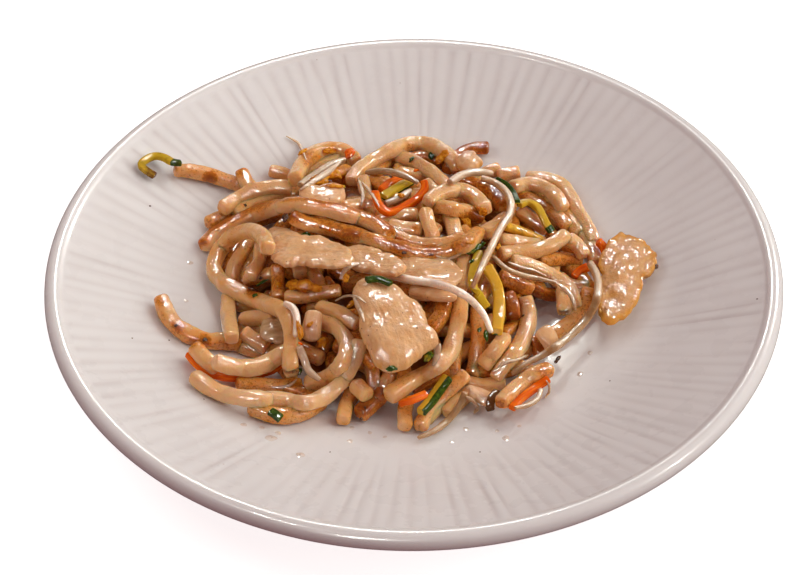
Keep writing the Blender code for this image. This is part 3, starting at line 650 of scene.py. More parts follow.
# %% Laying a strand
BEND_RADIUS = 15.0
STEEPEST = 1.0
STRAND_SPACING = 7.0
TURN_STEP_DEG = 30.0
FINE_POINTS = 60
CHORD_SAMPLES = 9
SETTLE_ROUNDS = 40


def distances(points):
    """How far along a line each of its points is."""
    return np.concatenate(([0.0], np.cumsum(np.linalg.norm(np.diff(points, axis=0), axis=1))))


def smooth_route(points, count):
    """Evenly spaced points along a smooth curve through the given points."""
    given = np.array(points, float)
    if len(given) == 2:
        given = np.array([given[0], given.mean(axis=0), given[1]])
    along = distances(given)
    slope = np.gradient(given, along, axis=0)
    at = np.linspace(0.0, along[-1], count)
    k = np.clip(np.searchsorted(along, at, side="right") - 1, 0, len(along) - 2)
    span = (along[k + 1] - along[k])[:, None]
    u = ((at - along[k])[:, None]) / span
    start = (1.0 + 2.0 * u) * (1.0 - u) ** 2 * given[k] + u * (1.0 - u) ** 2 * span * slope[k]
    end = u * u * (3.0 - 2.0 * u) * given[k + 1] + u * u * (u - 1.0) * span * slope[k + 1]
    return start + end


def route_count(points):
    """How many points a strand's mesh takes: enough for its length and for its turns."""
    fine = smooth_route(points, FINE_POINTS)
    steps = np.diff(fine, axis=0)
    length = np.linalg.norm(steps, axis=1).sum() / PIXELS_PER_MM
    heading = np.unwrap(np.arctan2(steps[:, 1], steps[:, 0]))
    turning = math.degrees(np.abs(np.diff(heading)).sum())
    return 1 + max(2, math.ceil(length / STRAND_SPACING), math.ceil(turning / TURN_STEP_DEG))


def rest_heights(needed, spacing):
    """Heights at which a strand clears every sample and bends no tighter than it can."""
    segments = len(needed) // CHORD_SAMPLES
    shares = np.linspace(0.0, 1.0, CHORD_SAMPLES)
    heights = np.full(segments + 1, needed.min())
    sag = spacing * spacing / (2.0 * BEND_RADIUS)
    for _ in range(SETTLE_ROUNDS):
        for k in range(segments):
            chord = (1.0 - shares) * heights[k] + shares * heights[k + 1]
            lack = needed[k * CHORD_SAMPLES:(k + 1) * CHORD_SAMPLES] - chord
            worst = int(np.argmax(lack))
            if lack[worst] > 0.0:
                near, far = 1.0 - shares[worst], shares[worst]
                push = lack[worst] / (near * near + far * far)
                heights[k] += push * near
                heights[k + 1] += push * far
        if segments > 1:
            bridge = (heights[:-2] + heights[2:]) / 2.0 - sag
            heights[1:-1] = np.maximum(heights[1:-1], bridge)
        heights[1:] = np.maximum(heights[1:], heights[:-1] - STEEPEST * spacing)
        heights[:-1] = np.maximum(heights[:-1], heights[1:] - STEEPEST * spacing)
    return heights


def lay_strand(pile, kind, size, pixels):
    """Lay one strand on the pile. Return the heights of its corners."""
    half_width, half_thick = size[0] / 2.0, size[1] / 2.0
    square = kind == "strip"
    press = PRESS if kind == "noodle" else -CLEAR
    soft = pile.clearance(pile.soft, half_width - max(press, 0.0), half_thick, square) - press
    hard = pile.clearance(pile.hard, half_width, half_thick, square) + CLEAR
    field = np.maximum(soft, hard)
    corners = smooth_route(pixels, route_count(pixels))
    shares = np.linspace(0.0, 1.0, CHORD_SAMPLES)[None, :, None]
    chords = corners[:-1, None, :] * (1.0 - shares) + corners[1:, None, :] * shares
    needed = pile.first_contact(chords.reshape(-1, 2), field)
    spacing = np.linalg.norm(np.diff(corners, axis=0), axis=1).mean() / PIXELS_PER_MM
    heights = rest_heights(needed, spacing)
    middle = on_sight_line(corners, heights)
    fine = middle[:-1, None, :] * (1.0 - shares) + middle[1:, None, :] * shares
    target = pile.soft if kind == "noodle" else pile.hard
    pile.stamp(target, fine.reshape(-1, 3), half_width, half_thick, square)
    return heights


# %% [markdown]
# ## Chunks
# A chunk of chicken is wide and not a strand. It is given by the picture points round its
# outline and by its thickness, and it is lowered until its underside touches the heap. Its upper
# face is a level plane with a lean, a little wave, and rounded edges.

# %% Laying a chunk
CHUNK_SQUARENESS = 0.7
RUFFLE_TURN = 0.42


def chunk_edge(chunk, angle):
    """How far a chunk's outline is from its middle at each angle."""
    return np.interp(angle, chunk["angles"], chunk["radii"], period=2.0 * math.pi)


def chunk_surface(chunk, x, y, side):
    """Height of a chunk's upper (side 1) or lower (side -1) face, and how far out places are."""
    dx, dy = x - chunk["middle"][0], y - chunk["middle"][1]
    out = np.hypot(dx, dy) / chunk_edge(chunk, np.arctan2(dy, dx))
    full = np.clip(1.0 - out ** (2.0 / CHUNK_SQUARENESS), 0.0, 1.0) ** (CHUNK_SQUARENESS / 2.0)
    wave = chunk["ruffle"] * np.sin(RUFFLE_TURN * dx + 1.0) * np.cos(RUFFLE_TURN * dy)
    plane = chunk["middle"][2] + chunk["lean"][0] * dx + chunk["lean"][1] * dy
    return plane + wave + side * chunk["half"] * full, out


def place_chunk(size, lean, outline, height):
    """A chunk whose middle is at this height and whose outline lies on its own sight lines."""
    outline = np.array(outline, float)
    middle = on_sight_line(outline.mean(axis=0), height)
    high = on_sight_line(outline, height)
    low = on_sight_line(outline, height - 1.0)
    step = high - low
    off = high - middle
    rise = lean[0] * off[:, 0] + lean[1] * off[:, 1]
    lift = rise / (1.0 - lean[0] * step[:, 0] - lean[1] * step[:, 1])
    off = off + step * lift[:, None]
    angles = np.arctan2(off[:, 1], off[:, 0])
    order = np.argsort(angles)
    radii = np.hypot(off[:, 0], off[:, 1])
    return {
        "middle": middle,
        "lean": lean,
        "half": size[0] / 2.0,
        "ruffle": size[1],
        "angles": angles[order],
        "radii": radii[order],
    }


def lay_chunk(pile, size, lean, outline):
    """Lower a chunk down its sight lines until it rests, and return it."""
    field = np.maximum(pile.soft, pile.hard) + CLEAR
    x, y = np.meshgrid(pile.x, pile.y, indexing="ij")
    rest = None
    for height in np.arange(SEARCH_TOP, 0.0, -SEARCH_STEP):
        chunk = place_chunk(size, lean, outline, height)
        under, out = chunk_surface(chunk, x, y, -1.0)
        if np.any((out < 1.0) & (field > under)):
            break
        rest = chunk
    top, out = chunk_surface(rest, x, y, 1.0)
    np.maximum(pile.hard, np.where(out < 1.0, top, FAR_BELOW), out=pile.hard)
    return rest


# %% [markdown]
# ## The order of the pile
# This is the recipe of the heap, from the bottom to the top, with a row for each piece. A row
# starts with a kind and a name. A strand then has its width, its thickness where that differs,
# and the picture points along its middle. A chunk has its thickness, its ruffle, its lean to the
# right and to the back, and the picture points of its outline. Nested brackets could hold the
# same numbers, but plain rows are easier to read and to change, and one short function reads
# them all.

# %% Reading a table
def table(text):
    """The rows of a table: the words, the numbers and the picture points of each."""
    rows = []
    for line in text.replace("\n    ", " ").strip().splitlines():
        if not line.startswith("#"):
            head, route = line.split(":")
            words = [word for word in head.split() if word[0].isalpha()]
            numbers = [float(word) for word in head.split() if not word[0].isalpha()]
            points = [tuple(float(k) for k in point.split(",")) for point in route.split()]
            rows.append((words, numbers, points))
    return rows


print("a row:", table("noodle example 5.4: 174,170 190,171"))


# %% The pile, bottom to top
PILE = """
# far left and back
noodle far_left 5.4: 174,170 190,171 209,175 228,181 250,188 283,198
noodle far_knob 6.0: 266,197 250,187 241,172
noodle back_end 5.4: 207,224 222,217 256,207
noodle back_low 5.7: 233,214 252,203 273,196 291,192
noodle back_long 5.7: 222,209 239,198 257,190 276,187 292,188
noodle back_chip 5.0: 269,170 284,174 298,180
noodle back_hump 6.2: 295,180 302,165 313,154 328,149 344,151 357,162
sprout sprout_back 3.2: 300,185 316,174 334,163 345,159
strip egg_back 4.2 2.2: 313,183 324,177 337,173 350,168
chunk chicken_back 6.0 0.3 0.0 0.0: 300,191 320,189 342,187 339,205 318,205 301,203
noodle far_tip 4.8: 447,170 454,160 463,152 476,148 489,148
noodle arch_inner 5.4: 397,158 413,161 427,169 440,180 450,190
noodle arch 5.7: 351,182 358,171 371,162 388,152 408,144 426,144 441,150 453,160 459,170
strip carrot_under 3.1 2.4: 381,190 390,183 402,178
strip courgette_back 4.0 3.0: 383,197 396,189 411,181
sprout sprout_inner 3.0: 385,204 398,199 411,190
sprout sprout_top 3.0: 366,173 380,171 396,173 409,178 418,183
noodle back_drop 5.0: 364,178 365,190 370,202
noodle back_stub 5.7: 343,209 358,206 372,208 380,213
strip carrot_loop 3.1 2.6: 424,181 425,188 420,196 409,204 397,210 387,212 379,205 375,193
noodle middle_left 5.7: 388,226 406,229 422,231
noodle middle_right 5.7: 449,214 453,226 457,240
noodle crown_low 5.7: 434,206 450,208 466,212 483,217
noodle crown 5.7: 427,203 437,195 451,190 466,192 478,200 486,210
noodle middle_drop 5.4: 425,210 428,222 434,239
noodle under_band 4.4: 391,233 410,241 430,244 449,242 465,235
# far right
chunk chicken_far 5.0 0.3 0.0 0.0: 461,156 470,152 479,158 479,168 468,172 460,167
noodle right_back 5.4: 497,177 509,174 520,172
noodle right_low 5.4: 550,199 561,211 571,222 579,236
noodle right_outer 5.7: 526,178 546,179 562,186 571,199 580,215 589,230 594,243
noodle right_inner 5.2: 518,211 532,220 548,230
noodle right_slant 5.2: 516,192 535,202 552,212 568,227
noodle right_arch 5.4: 512,187 530,184 545,188 556,197 564,210
strip courgette_arc 3.1 2.4: 519,205 527,202 536,206 542,215 547,225 552,232
noodle ring_noodle 5.7: 480,184 493,193 504,207
sprout sprout_far 3.4: 450,182 462,175 476,172 492,173
strip courgette_rind 2.6 2.0: 496,180 506,185 513,193 517,202
noodle ring_low 5.4: 483,234 497,225 508,216
strip courgette_brown 3.4 2.6: 505,226 523,232 542,240
noodle right_stub 5.2: 500,241 520,243 541,246
noodle right_dark 5.2: 538,260 560,259 582,262
noodle right_cross 5.7: 499,254 518,253 538,250 555,243 566,235
noodle right_curl 5.4: 567,238 577,245 585,257
strip carrot_stub 3.2 2.6: 574,277 580,271 588,267
strip carrot_right 3.4 2.6: 598,241 604,248 606,258 601,268
noodle right_bridge 5.2: 572,296 582,296 593,297
noodle right_hollow 5.4: 589,287 585,303 575,318 559,331 548,338
noodle right_wide 6.2: 499,276 516,283 532,288
noodle right_glossy 5.7: 511,262 530,266 548,274 562,283 572,293 575,305
noodle right_end 5.7: 562,288 564,299 564,310
sprout sprout_thin 2.2: 493,257 507,269 522,275 540,279 557,283
noodle front_brown_end 5.4: 506,292 511,305 514,318
noodle corner_prop 5.2: 498,352 512,362 527,371 538,377
noodle front_right_stub 5.7: 505,338 494,352 482,367
noodle front_right_long 5.7: 525,296 529,314 525,334 515,353 503,367 495,379
noodle front_brown 5.0: 534,336 538,347 541,357
shred chicken_right 6.4 4.4: 541,328 548,338 553,348
chunk chicken_slab 3.6 1.3 0.05 0.0: 604,252 612,239 622,229 630,236 645,242 656,253 656,266
    641,279 638,296 627,316 610,326 598,321 600,300 603,275
sprout sprout_right 3.3: 590,263 597,277 598,292 594,307 585,321 572,334 557,346 541,356 526,364
    512,374
# middle front
noodle front_gap_a 5.2: 391,374 386,383 383,392
noodle front_gap_b 5.2: 404,366 404,376 402,388
noodle front_gap_c 5.0: 370,363 373,377 374,391
noodle middle_shade 5.4: 349,337 363,351 377,367
noodle front_lean 5.6: 467,374 452,387 438,402 426,416 420,427
shred chicken_front 6.5 4.4: 467,391 479,395 491,401
noodle front_tail 5.4: 354,390 346,406 343,421
noodle front_fried 6.2: 384,392 371,404 359,415
noodle front_stub 6.2: 354,383 361,390 368,396
noodle front_glossy 5.5: 407,398 405,412 405,427
sprout sprout_front 2.7: 465,392 460,405 451,417 440,427 428,434 418,438
strip courgette_front 4.2 3.2: 448,377 438,391 430,402 421,412
noodle front_curl 6.2: 446,303 440,317 429,330
noodle front_long 6.0: 460,300 458,320 454,340 447,357 433,369 413,380 398,390 388,397
strip carrot_front 2.9 2.4: 402,403 414,399 426,394
strip courgette_dark 3.4 2.6: 498,392 491,400 490,409
noodle corner 5.7: 550,369 535,375 520,385 508,396 501,403
strip carrot_corner 2.9 2.4: 549,379 535,388 521,399 512,408
sprout sprout_corner 2.2: 541,389 538,398 528,405 515,408
# near left
noodle near_under 5.7: 250,406 266,413 285,416 303,412 324,401
strip carrot_left 3.6 2.6: 189,354 200,367 215,375 232,377 254,374 272,369 284,361
noodle near_rough 4.6: 236,383 258,384 280,386 302,384
noodle near_edge 5.8: 193,375 206,385 224,394 244,398 265,399 284,400 303,403 320,399 336,388
    348,372 357,354 360,340
strip courgette_tip 4.4 2.2: 270,411 275,414 281,419
noodle hook 6.0: 161,298 167,314 180,329 195,337 210,341 226,341 242,343
noodle left_low_a 5.7: 241,320 258,318 276,318
noodle left_low_b 5.7: 242,331 255,341 268,348
chunk onion_left 3.4 0.2 0.0 0.0: 269,320 281,321 288,333 284,343 272,342
noodle near_stub 5.7: 194,347 203,357 218,369
noodle near_middle 6.0: 214,361 230,366 248,368 263,365 276,358 288,350 297,343
noodle left_post 5.7: 229,294 228,311 230,327 232,339
noodle left_bar 5.2: 244,281 257,278 274,273
noodle left_inner_b 5.2: 261,245 259,261 250,277
noodle left_inner_a 5.4: 249,241 240,257 233,271 232,284
noodle left_drop 5.2: 277,264 278,280 279,299
noodle middle_bar 4.8: 284,297 304,297 322,293 341,290
noodle middle_end 6.2: 298,262 301,275
strip egg_left 3.0 2.2: 288,284 303,285 321,289
noodle middle_pair 5.7: 317,308 338,313 358,326
noodle loop 5.5: 317,321 335,327 346,341 345,357 335,371 322,380 306,384
shred chicken_stub 6.2 4.6: 314,311 312,326 312,341
# the top
noodle middle_post 5.4: 464,256 462,271 460,290
noodle brown_edge 5.7: 204,247 213,236 228,226 245,218 265,211 283,206 301,205 320,208 342,213
    363,219 381,228 391,237
noodle brown_crown 5.7: 291,215 306,223 326,227 350,234 373,240 397,247 417,253 437,254 456,249
    470,241 479,232
shred chicken_low 6.0 4.4: 410,290 431,294 457,295
shred chicken_shred 6.2 4.4: 405,265 430,270 455,274
strip courgette_yellow 3.2 2.6: 479,252 474,267 472,281 478,294 487,308
strip courgette_baton 4.3 3.4: 487,267 495,281 499,297 499,315 497,332
sprout sprout_long 3.3: 356,268 374,271 393,276 412,280 432,283 450,288 464,295 476,305 485,317
    491,332
shred chicken_top 7.6 5.0: 347,254 371,260 398,267
shred chicken_left 9.0 6.0: 280,251 298,252 320,254 343,261
chunk chicken_chunk 11.0 0.5 -0.05 0.12: 353,283 371,282 392,287 408,300 423,312 427,330 441,341
    424,351 410,363 392,371 378,366 368,345 362,315
strip courgette_rind_middle 2.8 2.0: 366,280 378,279 391,284
noodle left_loop 5.9: 268,249 262,236 250,231 236,235 225,244 216,258 214,270 221,281 237,291
    252,299 269,305 282,311 289,323 291,340 290,358 291,374
sprout sprout_left 2.8: 284,303 293,308 297,320 295,336
sprout sprout_near 3.0: 299,346 304,359 309,371 320,380
sprout sprout_ring 3.2: 481,178 495,183 506,192 511,204 509,215 502,226 495,239 489,252 483,264
    477,277 472,288
# on the open plate
strip courgette_hook 3.2 2.2: 155,176 147,171 141,165 147,159 156,156 165,158 172,162 181,163
"""
print("rows in the recipe:", len(table(PILE)))


# %% [markdown]
# ## Noodles
# Each noodle is a soft tube: nearly square with round corners, since udon is cut from a rolled
# sheet, a little uneven along its length, and cut off blunt at the ends. A curve object with a
# bevel would make an even pipe; building the rings directly lets every one differ. All rings go
# into one mesh, which also carries numbers for the finish: how toasted each place is, a tone
# for each noodle, and coordinates that run along it.

# %% Tubes
END_STEPS = (0.0, 0.08, 0.25, 0.55, 1.0)
SWELL_LENGTH = 8.0
TWIST_LENGTH = 18.0
TWIST = 0.9
END_TAPER = 0.8


class Skin:
    """Gathers many closed pieces into the points, faces and numbers of one mesh."""

    def __init__(self):
        self.points, self.faces, self.count = [], [], 0
        self.values = {}

    def add(self, points, faces, **values):
        """Take in one closed piece, with a number for all or for each of its points."""
        self.points.append(points)
        self.faces.extend([k + self.count for k in face] for face in faces)
        self.count += len(points)
        for key, numbers in values.items():
            if np.ndim(numbers) == 0:
                numbers = np.full(len(points), numbers)
            self.values.setdefault(key, []).append(np.asarray(numbers, float))

    def add_tube(self, tubed, radius, seed, **values):
        """Take in a tube, with coordinates that follow it for the noise of its finish."""
        points, faces, run, turned = tubed
        self.add(points, faces, grain=grain_of(run, turned, radius, seed), **values)

    def piece(self, name, look, slot, *nodes):
        """All that was taken in, as one object."""
        values = {key: np.concatenate(parts) for key, parts in self.values.items()}
        points = np.concatenate(self.points)
        return new_piece(name, points, self.faces, look, slot, *nodes, values=values)


def wander(places, size, seed):
    """Smooth noise at each place, from about -0.7 to 0.7."""
    off = Vector((seed * 3.1, seed * 1.7, seed))
    return np.array([noise.noise(Vector(p) / size + off) for p in places])


def stations(length, step, blunt):
    """Distances along a tube for its rings: even in the middle and close together at the ends."""
    blunt = min(blunt, 0.4 * length)
    ends = np.array(END_STEPS) * blunt
    count = max(2, int(round((length - 2.0 * blunt) / step)) + 1)
    inner = np.linspace(blunt, length - blunt, count)
    return np.concatenate((ends[:-1], inner, (length - ends[:-1])[::-1])), blunt


def rounded(share, shape):
    """A circle's sine or cosine pushed out towards a square: 2 is a circle, 4 nearly square."""
    return np.sign(share) * np.abs(share) ** (2.0 / shape)


def tube(line, half_width, half_thick, shape, sides, step, seed,
         uneven=0.07, blunt=1.5, girth=None, relief=None):
    """A closed tube round a line: its points and faces, how far along each is, and its angle."""
    along = distances(line)
    at, blunt = stations(along[-1], step, blunt)
    line = np.stack([np.interp(at, along, line[:, k]) for k in range(3)], axis=1)
    forward = np.gradient(line, at, axis=0)
    forward /= np.linalg.norm(forward, axis=1, keepdims=True)
    across = np.cross(forward, (0.0, 0.0, 1.0))
    across /= np.maximum(np.linalg.norm(across, axis=1, keepdims=True), 1e-6)
    over = np.cross(across, forward)
    swell = 1.0 + 2.0 * uneven * wander(line, SWELL_LENGTH, seed)
    lean = TWIST * wander(line, TWIST_LENGTH, seed + 5.0)
    angle = 2.0 * math.pi * np.arange(sides) / sides
    u, v = rounded(np.cos(angle), shape), rounded(np.sin(angle), shape)
    near = np.minimum(at, at[-1] - at)
    shy = 1.0 - np.clip(near / blunt, 0.0, 1.0)
    inset = blunt * (1.0 - np.sqrt(np.clip(1.0 - shy * shy, 0.0, 1.0)))
    size = swell * (1.0 - END_TAPER * np.minimum(inset / half_width, 0.9))
    if girth is not None:
        size = size * np.interp(at / at[-1], *zip(*girth))
    rings = []
    for k in range(len(at)):
        bulge = size[k] * (1.0 if relief is None else relief(at[k], angle))
        x, y = u * half_width * bulge, v * half_thick * bulge
        cos, sin = math.cos(lean[k]), math.sin(lean[k])
        aside, upward = (x * cos - y * sin)[:, None], (x * sin + y * cos)[:, None]
        rings.append(line[k] + aside * across[k] + upward * over[k])
    points = np.vstack((np.concatenate(rings), line[0], line[-1]))
    faces = ring_faces(len(at), sides)[:, ::-1].tolist()
    first, last, base = len(points) - 2, len(points) - 1, (len(at) - 1) * sides
    for k in range(sides):
        faces.append([first, (k + 1) % sides, k])
        faces.append([last, base + k, base + (k + 1) % sides])
    run = np.concatenate((np.repeat(at, sides), (0.0, at[-1])))
    turned = np.concatenate((np.tile(angle, len(at)), (0.0, 0.0)))
    return points, faces, run, turned


def swells(depth, length, lobes, along=0.0, aside=0.0):
    """Dents and swellings of this depth and length along a tube; lobes sets how many go round."""
    def relief(at, angle):
        places = [(at / length + along, lobes * math.cos(a), lobes * math.sin(a) + aside)
                  for a in angle]
        return 1.0 + depth * np.array([noise.noise(Vector(place)) for place in places])
    return relief


def grain_of(run, turned, radius, seed):
    """Coordinates that follow a piece: along it, and across on a circle, apart for each piece."""
    return np.stack((run + 37.0 * seed, radius * np.cos(turned), radius * np.sin(turned)), axis=1)


def picture_points(points):
    """Where points in mm are seen in the picture."""
    place, aim, right, up = EYE
    off = np.asarray(points) - place
    far = off @ aim
    return np.stack((PICTURE[0] / 2 + EYE_FOCUS * (off @ right) / far,
                     PICTURE[1] / 2 - EYE_FOCUS * (off @ up) / far), axis=1)


# %% Laying the whole pile
def fine_line(pixels, heights):
    """A smooth line with the same corners and heights as the laid strand, a point to each mm."""
    steps = np.diff(smooth_route(pixels, FINE_POINTS), axis=0)
    count = max(6, int(np.linalg.norm(steps, axis=1).sum() / PIXELS_PER_MM))
    corners = np.stack((np.arange(len(heights)), heights), axis=1)
    level = smooth_route(corners, 8 * count)
    share = np.linspace(0.0, len(heights) - 1.0, count)
    return on_sight_line(smooth_route(pixels, count), np.interp(share, level[:, 0], level[:, 1]))


def lay_pile():
    """Every strand's fine line and every chunk's rest, by name, and the maps of heights."""
    pile = Pile()
    strands, chunks = {}, {}
    for (kind, name), numbers, route in table(PILE):
        if kind == "chunk":
            chunks[name] = lay_chunk(pile, numbers[:2], numbers[2:], route)
        else:
            size = (numbers[0], numbers[-1])
            heights = lay_strand(pile, kind, size, route)
            strands[name] = (kind, size, fine_line(route, heights))
    return pile, strands, chunks


def strands_of(wanted):
    """A number for each strand of one kind, with its name, half sizes and line."""
    for number, (name, (kind, size, line)) in enumerate(strands.items()):
        if kind == wanted:
            yield number, name, size[0] / 2.0, size[1] / 2.0, line


pile, strands, chunks = lay_pile()
print("strands:", len(strands), "chunks:", len(chunks))


# %% [markdown]
# ## Noodles under the noodles
# Between the noodles on top, more noodles show deeper down. They are packed from the top: each
# wanders in a gentle curve and hangs as high as it can under the ones that are there already,
# and is left out where it would have to sink below the heap's middle. A seeded draw makes them
# the same each time. Dropping them on a pile by simulation would be truer, but slow.

# %% The deeper noodles
DEEP_SEED = 11
DEEP_TRIES = 4200
DEEP_WIDTH = (5.0, 5.9)
DEEP_LENGTH = (11.0, 50.0)
DEEP_STEP = 1.5
DEEP_ROOM = 13.0
DEEP_RISE = 3.6
DEEP_PRESS = 0.9
DEEP_REACH = 0.95
DEEP_STEEPEST = 0.75
DEEP_BEND = 0.03
DEEP_SWAY_MM = (6.0, 14.0)
DEEP_ROUNDS = 12
DEEP_EVENING = 2
# picture points of dark gaps, kept clear of deeper noodles so the dark mound, painted shade,
# shows there
DARK_GAPS = (
    (350, 192), (441, 225), (492, 208), (418, 362), (504, 325), (351, 300), (300, 313),
    (315, 387),
)
GAP_RADIUS = 3.2
GAP_HEIGHT = 26.0


def evened(heights, reach):
    """Each height averaged with those of this many neighbours on either side."""
    count = 2 * reach + 1
    return np.convolve(np.pad(heights, reach, mode="edge"), np.ones(count) / count, mode="valid")


def disc_cells(pile, x, y, radius):
    """The map cells under a ball at each place, and how high the ball's half reaches in each."""
    reach = int(radius / CELL)
    steps = np.arange(-reach, reach + 1)
    i, j = np.meshgrid(steps, steps, indexing="ij")
    off = np.hypot(i, j) * CELL / radius
    keep = off < 1.0
    row, column = pile.cell(np.stack((x, y), axis=1))
    rows = np.clip(row[:, None] + i[keep], 0, len(pile.x) - 1)
    columns = np.clip(column[:, None] + j[keep], 0, len(pile.y) - 1)
    return rows, columns, radius * np.sqrt(1.0 - off[keep] ** 2)


def make_roof(pile):
    """The greatest height at each place: under the strands on top, or a little over the core."""
    x, y = np.meshgrid(pile.x, pile.y, indexing="ij")
    roof = core_top(x, y) + DEEP_RISE * np.clip(1.6 * (1.0 - spread_of(x, y)), 0.0, 1.0)
    for kind, size, line in strands.values():
        lower_roof(pile, roof, line[::2], (size[0] if kind == "noodle" else min(size)) / 2.0)
    for chunk in chunks.values():
        dx, dy = x - chunk["middle"][0], y - chunk["middle"][1]
        inside = np.hypot(dx, dy) < chunk_edge(chunk, np.arctan2(dy, dx))
        under, _ = chunk_surface(chunk, x[inside], y[inside], -1.0)
        roof[inside] = np.minimum(roof[inside], under)
    return roof


def lower_roof(pile, roof, line, radius):
    """Nothing may rise into this tube from below."""
    rows, columns, rise = disc_cells(pile, line[:, 0], line[:, 1], radius)
    np.minimum.at(roof, (rows, columns), line[:, 2:] - rise + DEEP_PRESS)


def scatter_deep():
    """The lines and radii of the deeper noodles."""
    draw = np.random.default_rng(DEEP_SEED)
    roof = make_roof(pile)
    gaps = on_sight_line(np.array(DARK_GAPS, float), GAP_HEIGHT)[:, :2]
    found = []
    for _ in range(DEEP_TRIES):
        radius = draw.uniform(*DEEP_WIDTH) / 2.0
        count = int(draw.uniform(*DEEP_LENGTH) / DEEP_STEP)
        turn, out = draw.uniform(0.0, 2.0 * math.pi), math.sqrt(draw.uniform(0.0, 0.9))
        outward = np.array((math.cos(turn), math.sin(turn)))
        start = np.array(CORE_MIDDLE) + core_radius(turn) * out * outward
        bend = draw.normal(0.0, DEEP_BEND)
        sway = np.sin(np.arange(count) * DEEP_STEP / draw.uniform(*DEEP_SWAY_MM))
        bend = bend + DEEP_BEND * sway
        heading = draw.uniform(0.0, 2.0 * math.pi) + np.cumsum(bend) * DEEP_STEP
        x = start[0] + np.cumsum(np.cos(heading)) * DEEP_STEP
        y = start[1] + np.cumsum(np.sin(heading)) * DEEP_STEP
        if spread_of(x, y).max() > DEEP_REACH:
            continue
        to_gaps = np.hypot(x[:, None] - gaps[:, 0], y[:, None] - gaps[:, 1])
        if to_gaps.min() < GAP_RADIUS + radius:
            continue
        rows, columns, rise = disc_cells(pile, x, y, radius)
        height = (roof[rows, columns] - rise).min(axis=1)
        for _ in range(DEEP_ROUNDS):
            lower = np.minimum(np.roll(height, 1), np.roll(height, -1))
            near = lower + DEEP_STEEPEST * DEEP_STEP
            near[0], near[-1] = height[1] + DEEP_STEP, height[-2] + DEEP_STEP
            height = np.minimum(height, near)
        height = evened(height, DEEP_EVENING)
        if (height - radius - core_top(x, y, depth=CORE_DEPTH + DEEP_ROOM)).min() < 0.0:
            continue
        line = np.stack((x, y, height), axis=1)
        lower_roof(pile, roof, line, radius)
        found.append((line, radius))
    return found


deep_noodles = scatter_deep()
print("deeper noodles:", len(deep_noodles))


# %% [markdown]
# Between the upper noodles a few deeper ones can be made out. Random ones would not match them,
# so they are traced from the picture and slid down until they lie under what covers them.

# %% Noodles seen through the gaps
# the toast of each, and the picture points along it
SEEN_THROUGH = """
0.3: 228,274 232,256 242,240
0.22: 241,286 246,268 255,248
0.12: 232,304 248,305 264,302
0.14: 238,329 252,326 266,329 280,327
0.16: 236,344 254,350 272,352 288,348
0.2: 276,362 285,370 292,380
0.4: 284,388 302,393 322,393 338,386
0.1: 302,176 318,166 340,158
0.14: 310,180 326,172 346,160
0.22: 374,174 386,163 404,152
0.4: 404,162 424,157 444,164
0.16: 284,198 300,186
0.34: 250,222 268,217 290,213
0.25: 446,160 462,172 478,184
0.18: 470,184 484,174 500,168
0.26: 520,194 540,206 560,228
0.2: 532,188 548,198 562,216
0.28: 548,232 562,244 578,256
0.16: 578,228 590,246 596,264
0.3: 560,262 576,272 592,290
0.2: 558,276 570,286 590,288
0.42: 532,286 546,294 562,294
0.4: 502,336 514,326 524,316
0.24: 520,354 532,346 546,342
0.26: 470,368 494,372 522,366
0.14: 466,382 486,386 504,380
0.12: 446,414 460,400 474,390
0.36: 412,390 430,381 448,370
0.42: 332,326 342,336 338,352
0.16: 426,420 440,404 456,388
"""
SEEN_RADIUS = 2.6
SEEN_POINTS = 16
SEEN_FROM = 20.0
SEEN_ROUNDS = 8
SEEN_EVENING = 3


def lie_under(pixels, roof):
    """The line of a noodle on these sight lines, held up as high as the roof over it allows."""
    pixels = smooth_route(pixels, SEEN_POINTS)
    height = np.full(len(pixels), SEEN_FROM)
    for _ in range(SEEN_ROUNDS):
        line = on_sight_line(pixels, height)
        rows, columns, rise = disc_cells(pile, line[:, 0], line[:, 1], SEEN_RADIUS)
        floor = plate_top(np.hypot(line[:, 0], line[:, 1])) + SEEN_RADIUS
        level = np.maximum((roof[rows, columns] - rise).min(axis=1), floor)
        height = 0.5 * height + 0.5 * evened(level, SEEN_EVENING)
    return on_sight_line(pixels, height)


def fill_gaps():
    """The noodles that are seen through the gaps, as lines and toast."""
    roof = make_roof(pile)
    return [(lie_under(route, roof), toast) for _, (toast,), route in table(SEEN_THROUGH)]


gap_noodles = fill_gaps()
print("noodles in gaps:", len(gap_noodles))


# %% [markdown]
# ## How noodles brown
# Noodles in a hot pan stay cream where they are shielded and turn golden to dark brown where they
# touch the metal or carry soy. Each noodle has a base amount of toast, and named places add
# round patches. Deep in the clefts the toast grows too, as painted shade. The finish turns that
# amount into colour through a ramp, broken up by noise.

# %% Toast
TOAST = {
    "far_left": 0.27, "far_knob": 0.24, "back_end": 0.24, "back_low": 0.18, "back_long": 0.22,
    "back_hump": 0.20, "arch": 0.12, "arch_inner": 0.14, "far_tip": 0.46, "brown_edge": 0.20,
    "brown_crown": 0.15, "ring_noodle": 0.36, "crown": 0.12, "crown_low": 0.18,
    "under_band": 0.27, "middle_left": 0.13, "right_wide": 0.34, "right_hollow": 0.30,
    "right_dark": 0.36, "front_fried": 0.48, "front_brown": 0.38, "front_brown_end": 0.53,
    "front_gap_b": 0.32, "front_tail": 0.24, "hook": 0.19, "near_rough": 0.26,
    "near_under": 0.24, "near_edge": 0.08, "near_middle": 0.10, "corner": 0.29,
    "front_lean": 0.22, "left_drop": 0.27, "middle_bar": 0.24, "front_curl": 0.30,
    "middle_shade": 0.28, "right_slant": 0.26, "right_low": 0.24,
}
TOAST_USUAL = (0.06, 0.20)
# deeper noodles get more toast than the usual, partly browning and partly painted shade of the
# gaps they lie in
DEEP_TOAST_AND_SHADE = (0.10, 0.32)
TOAST_SIDE_USUAL = 0.05
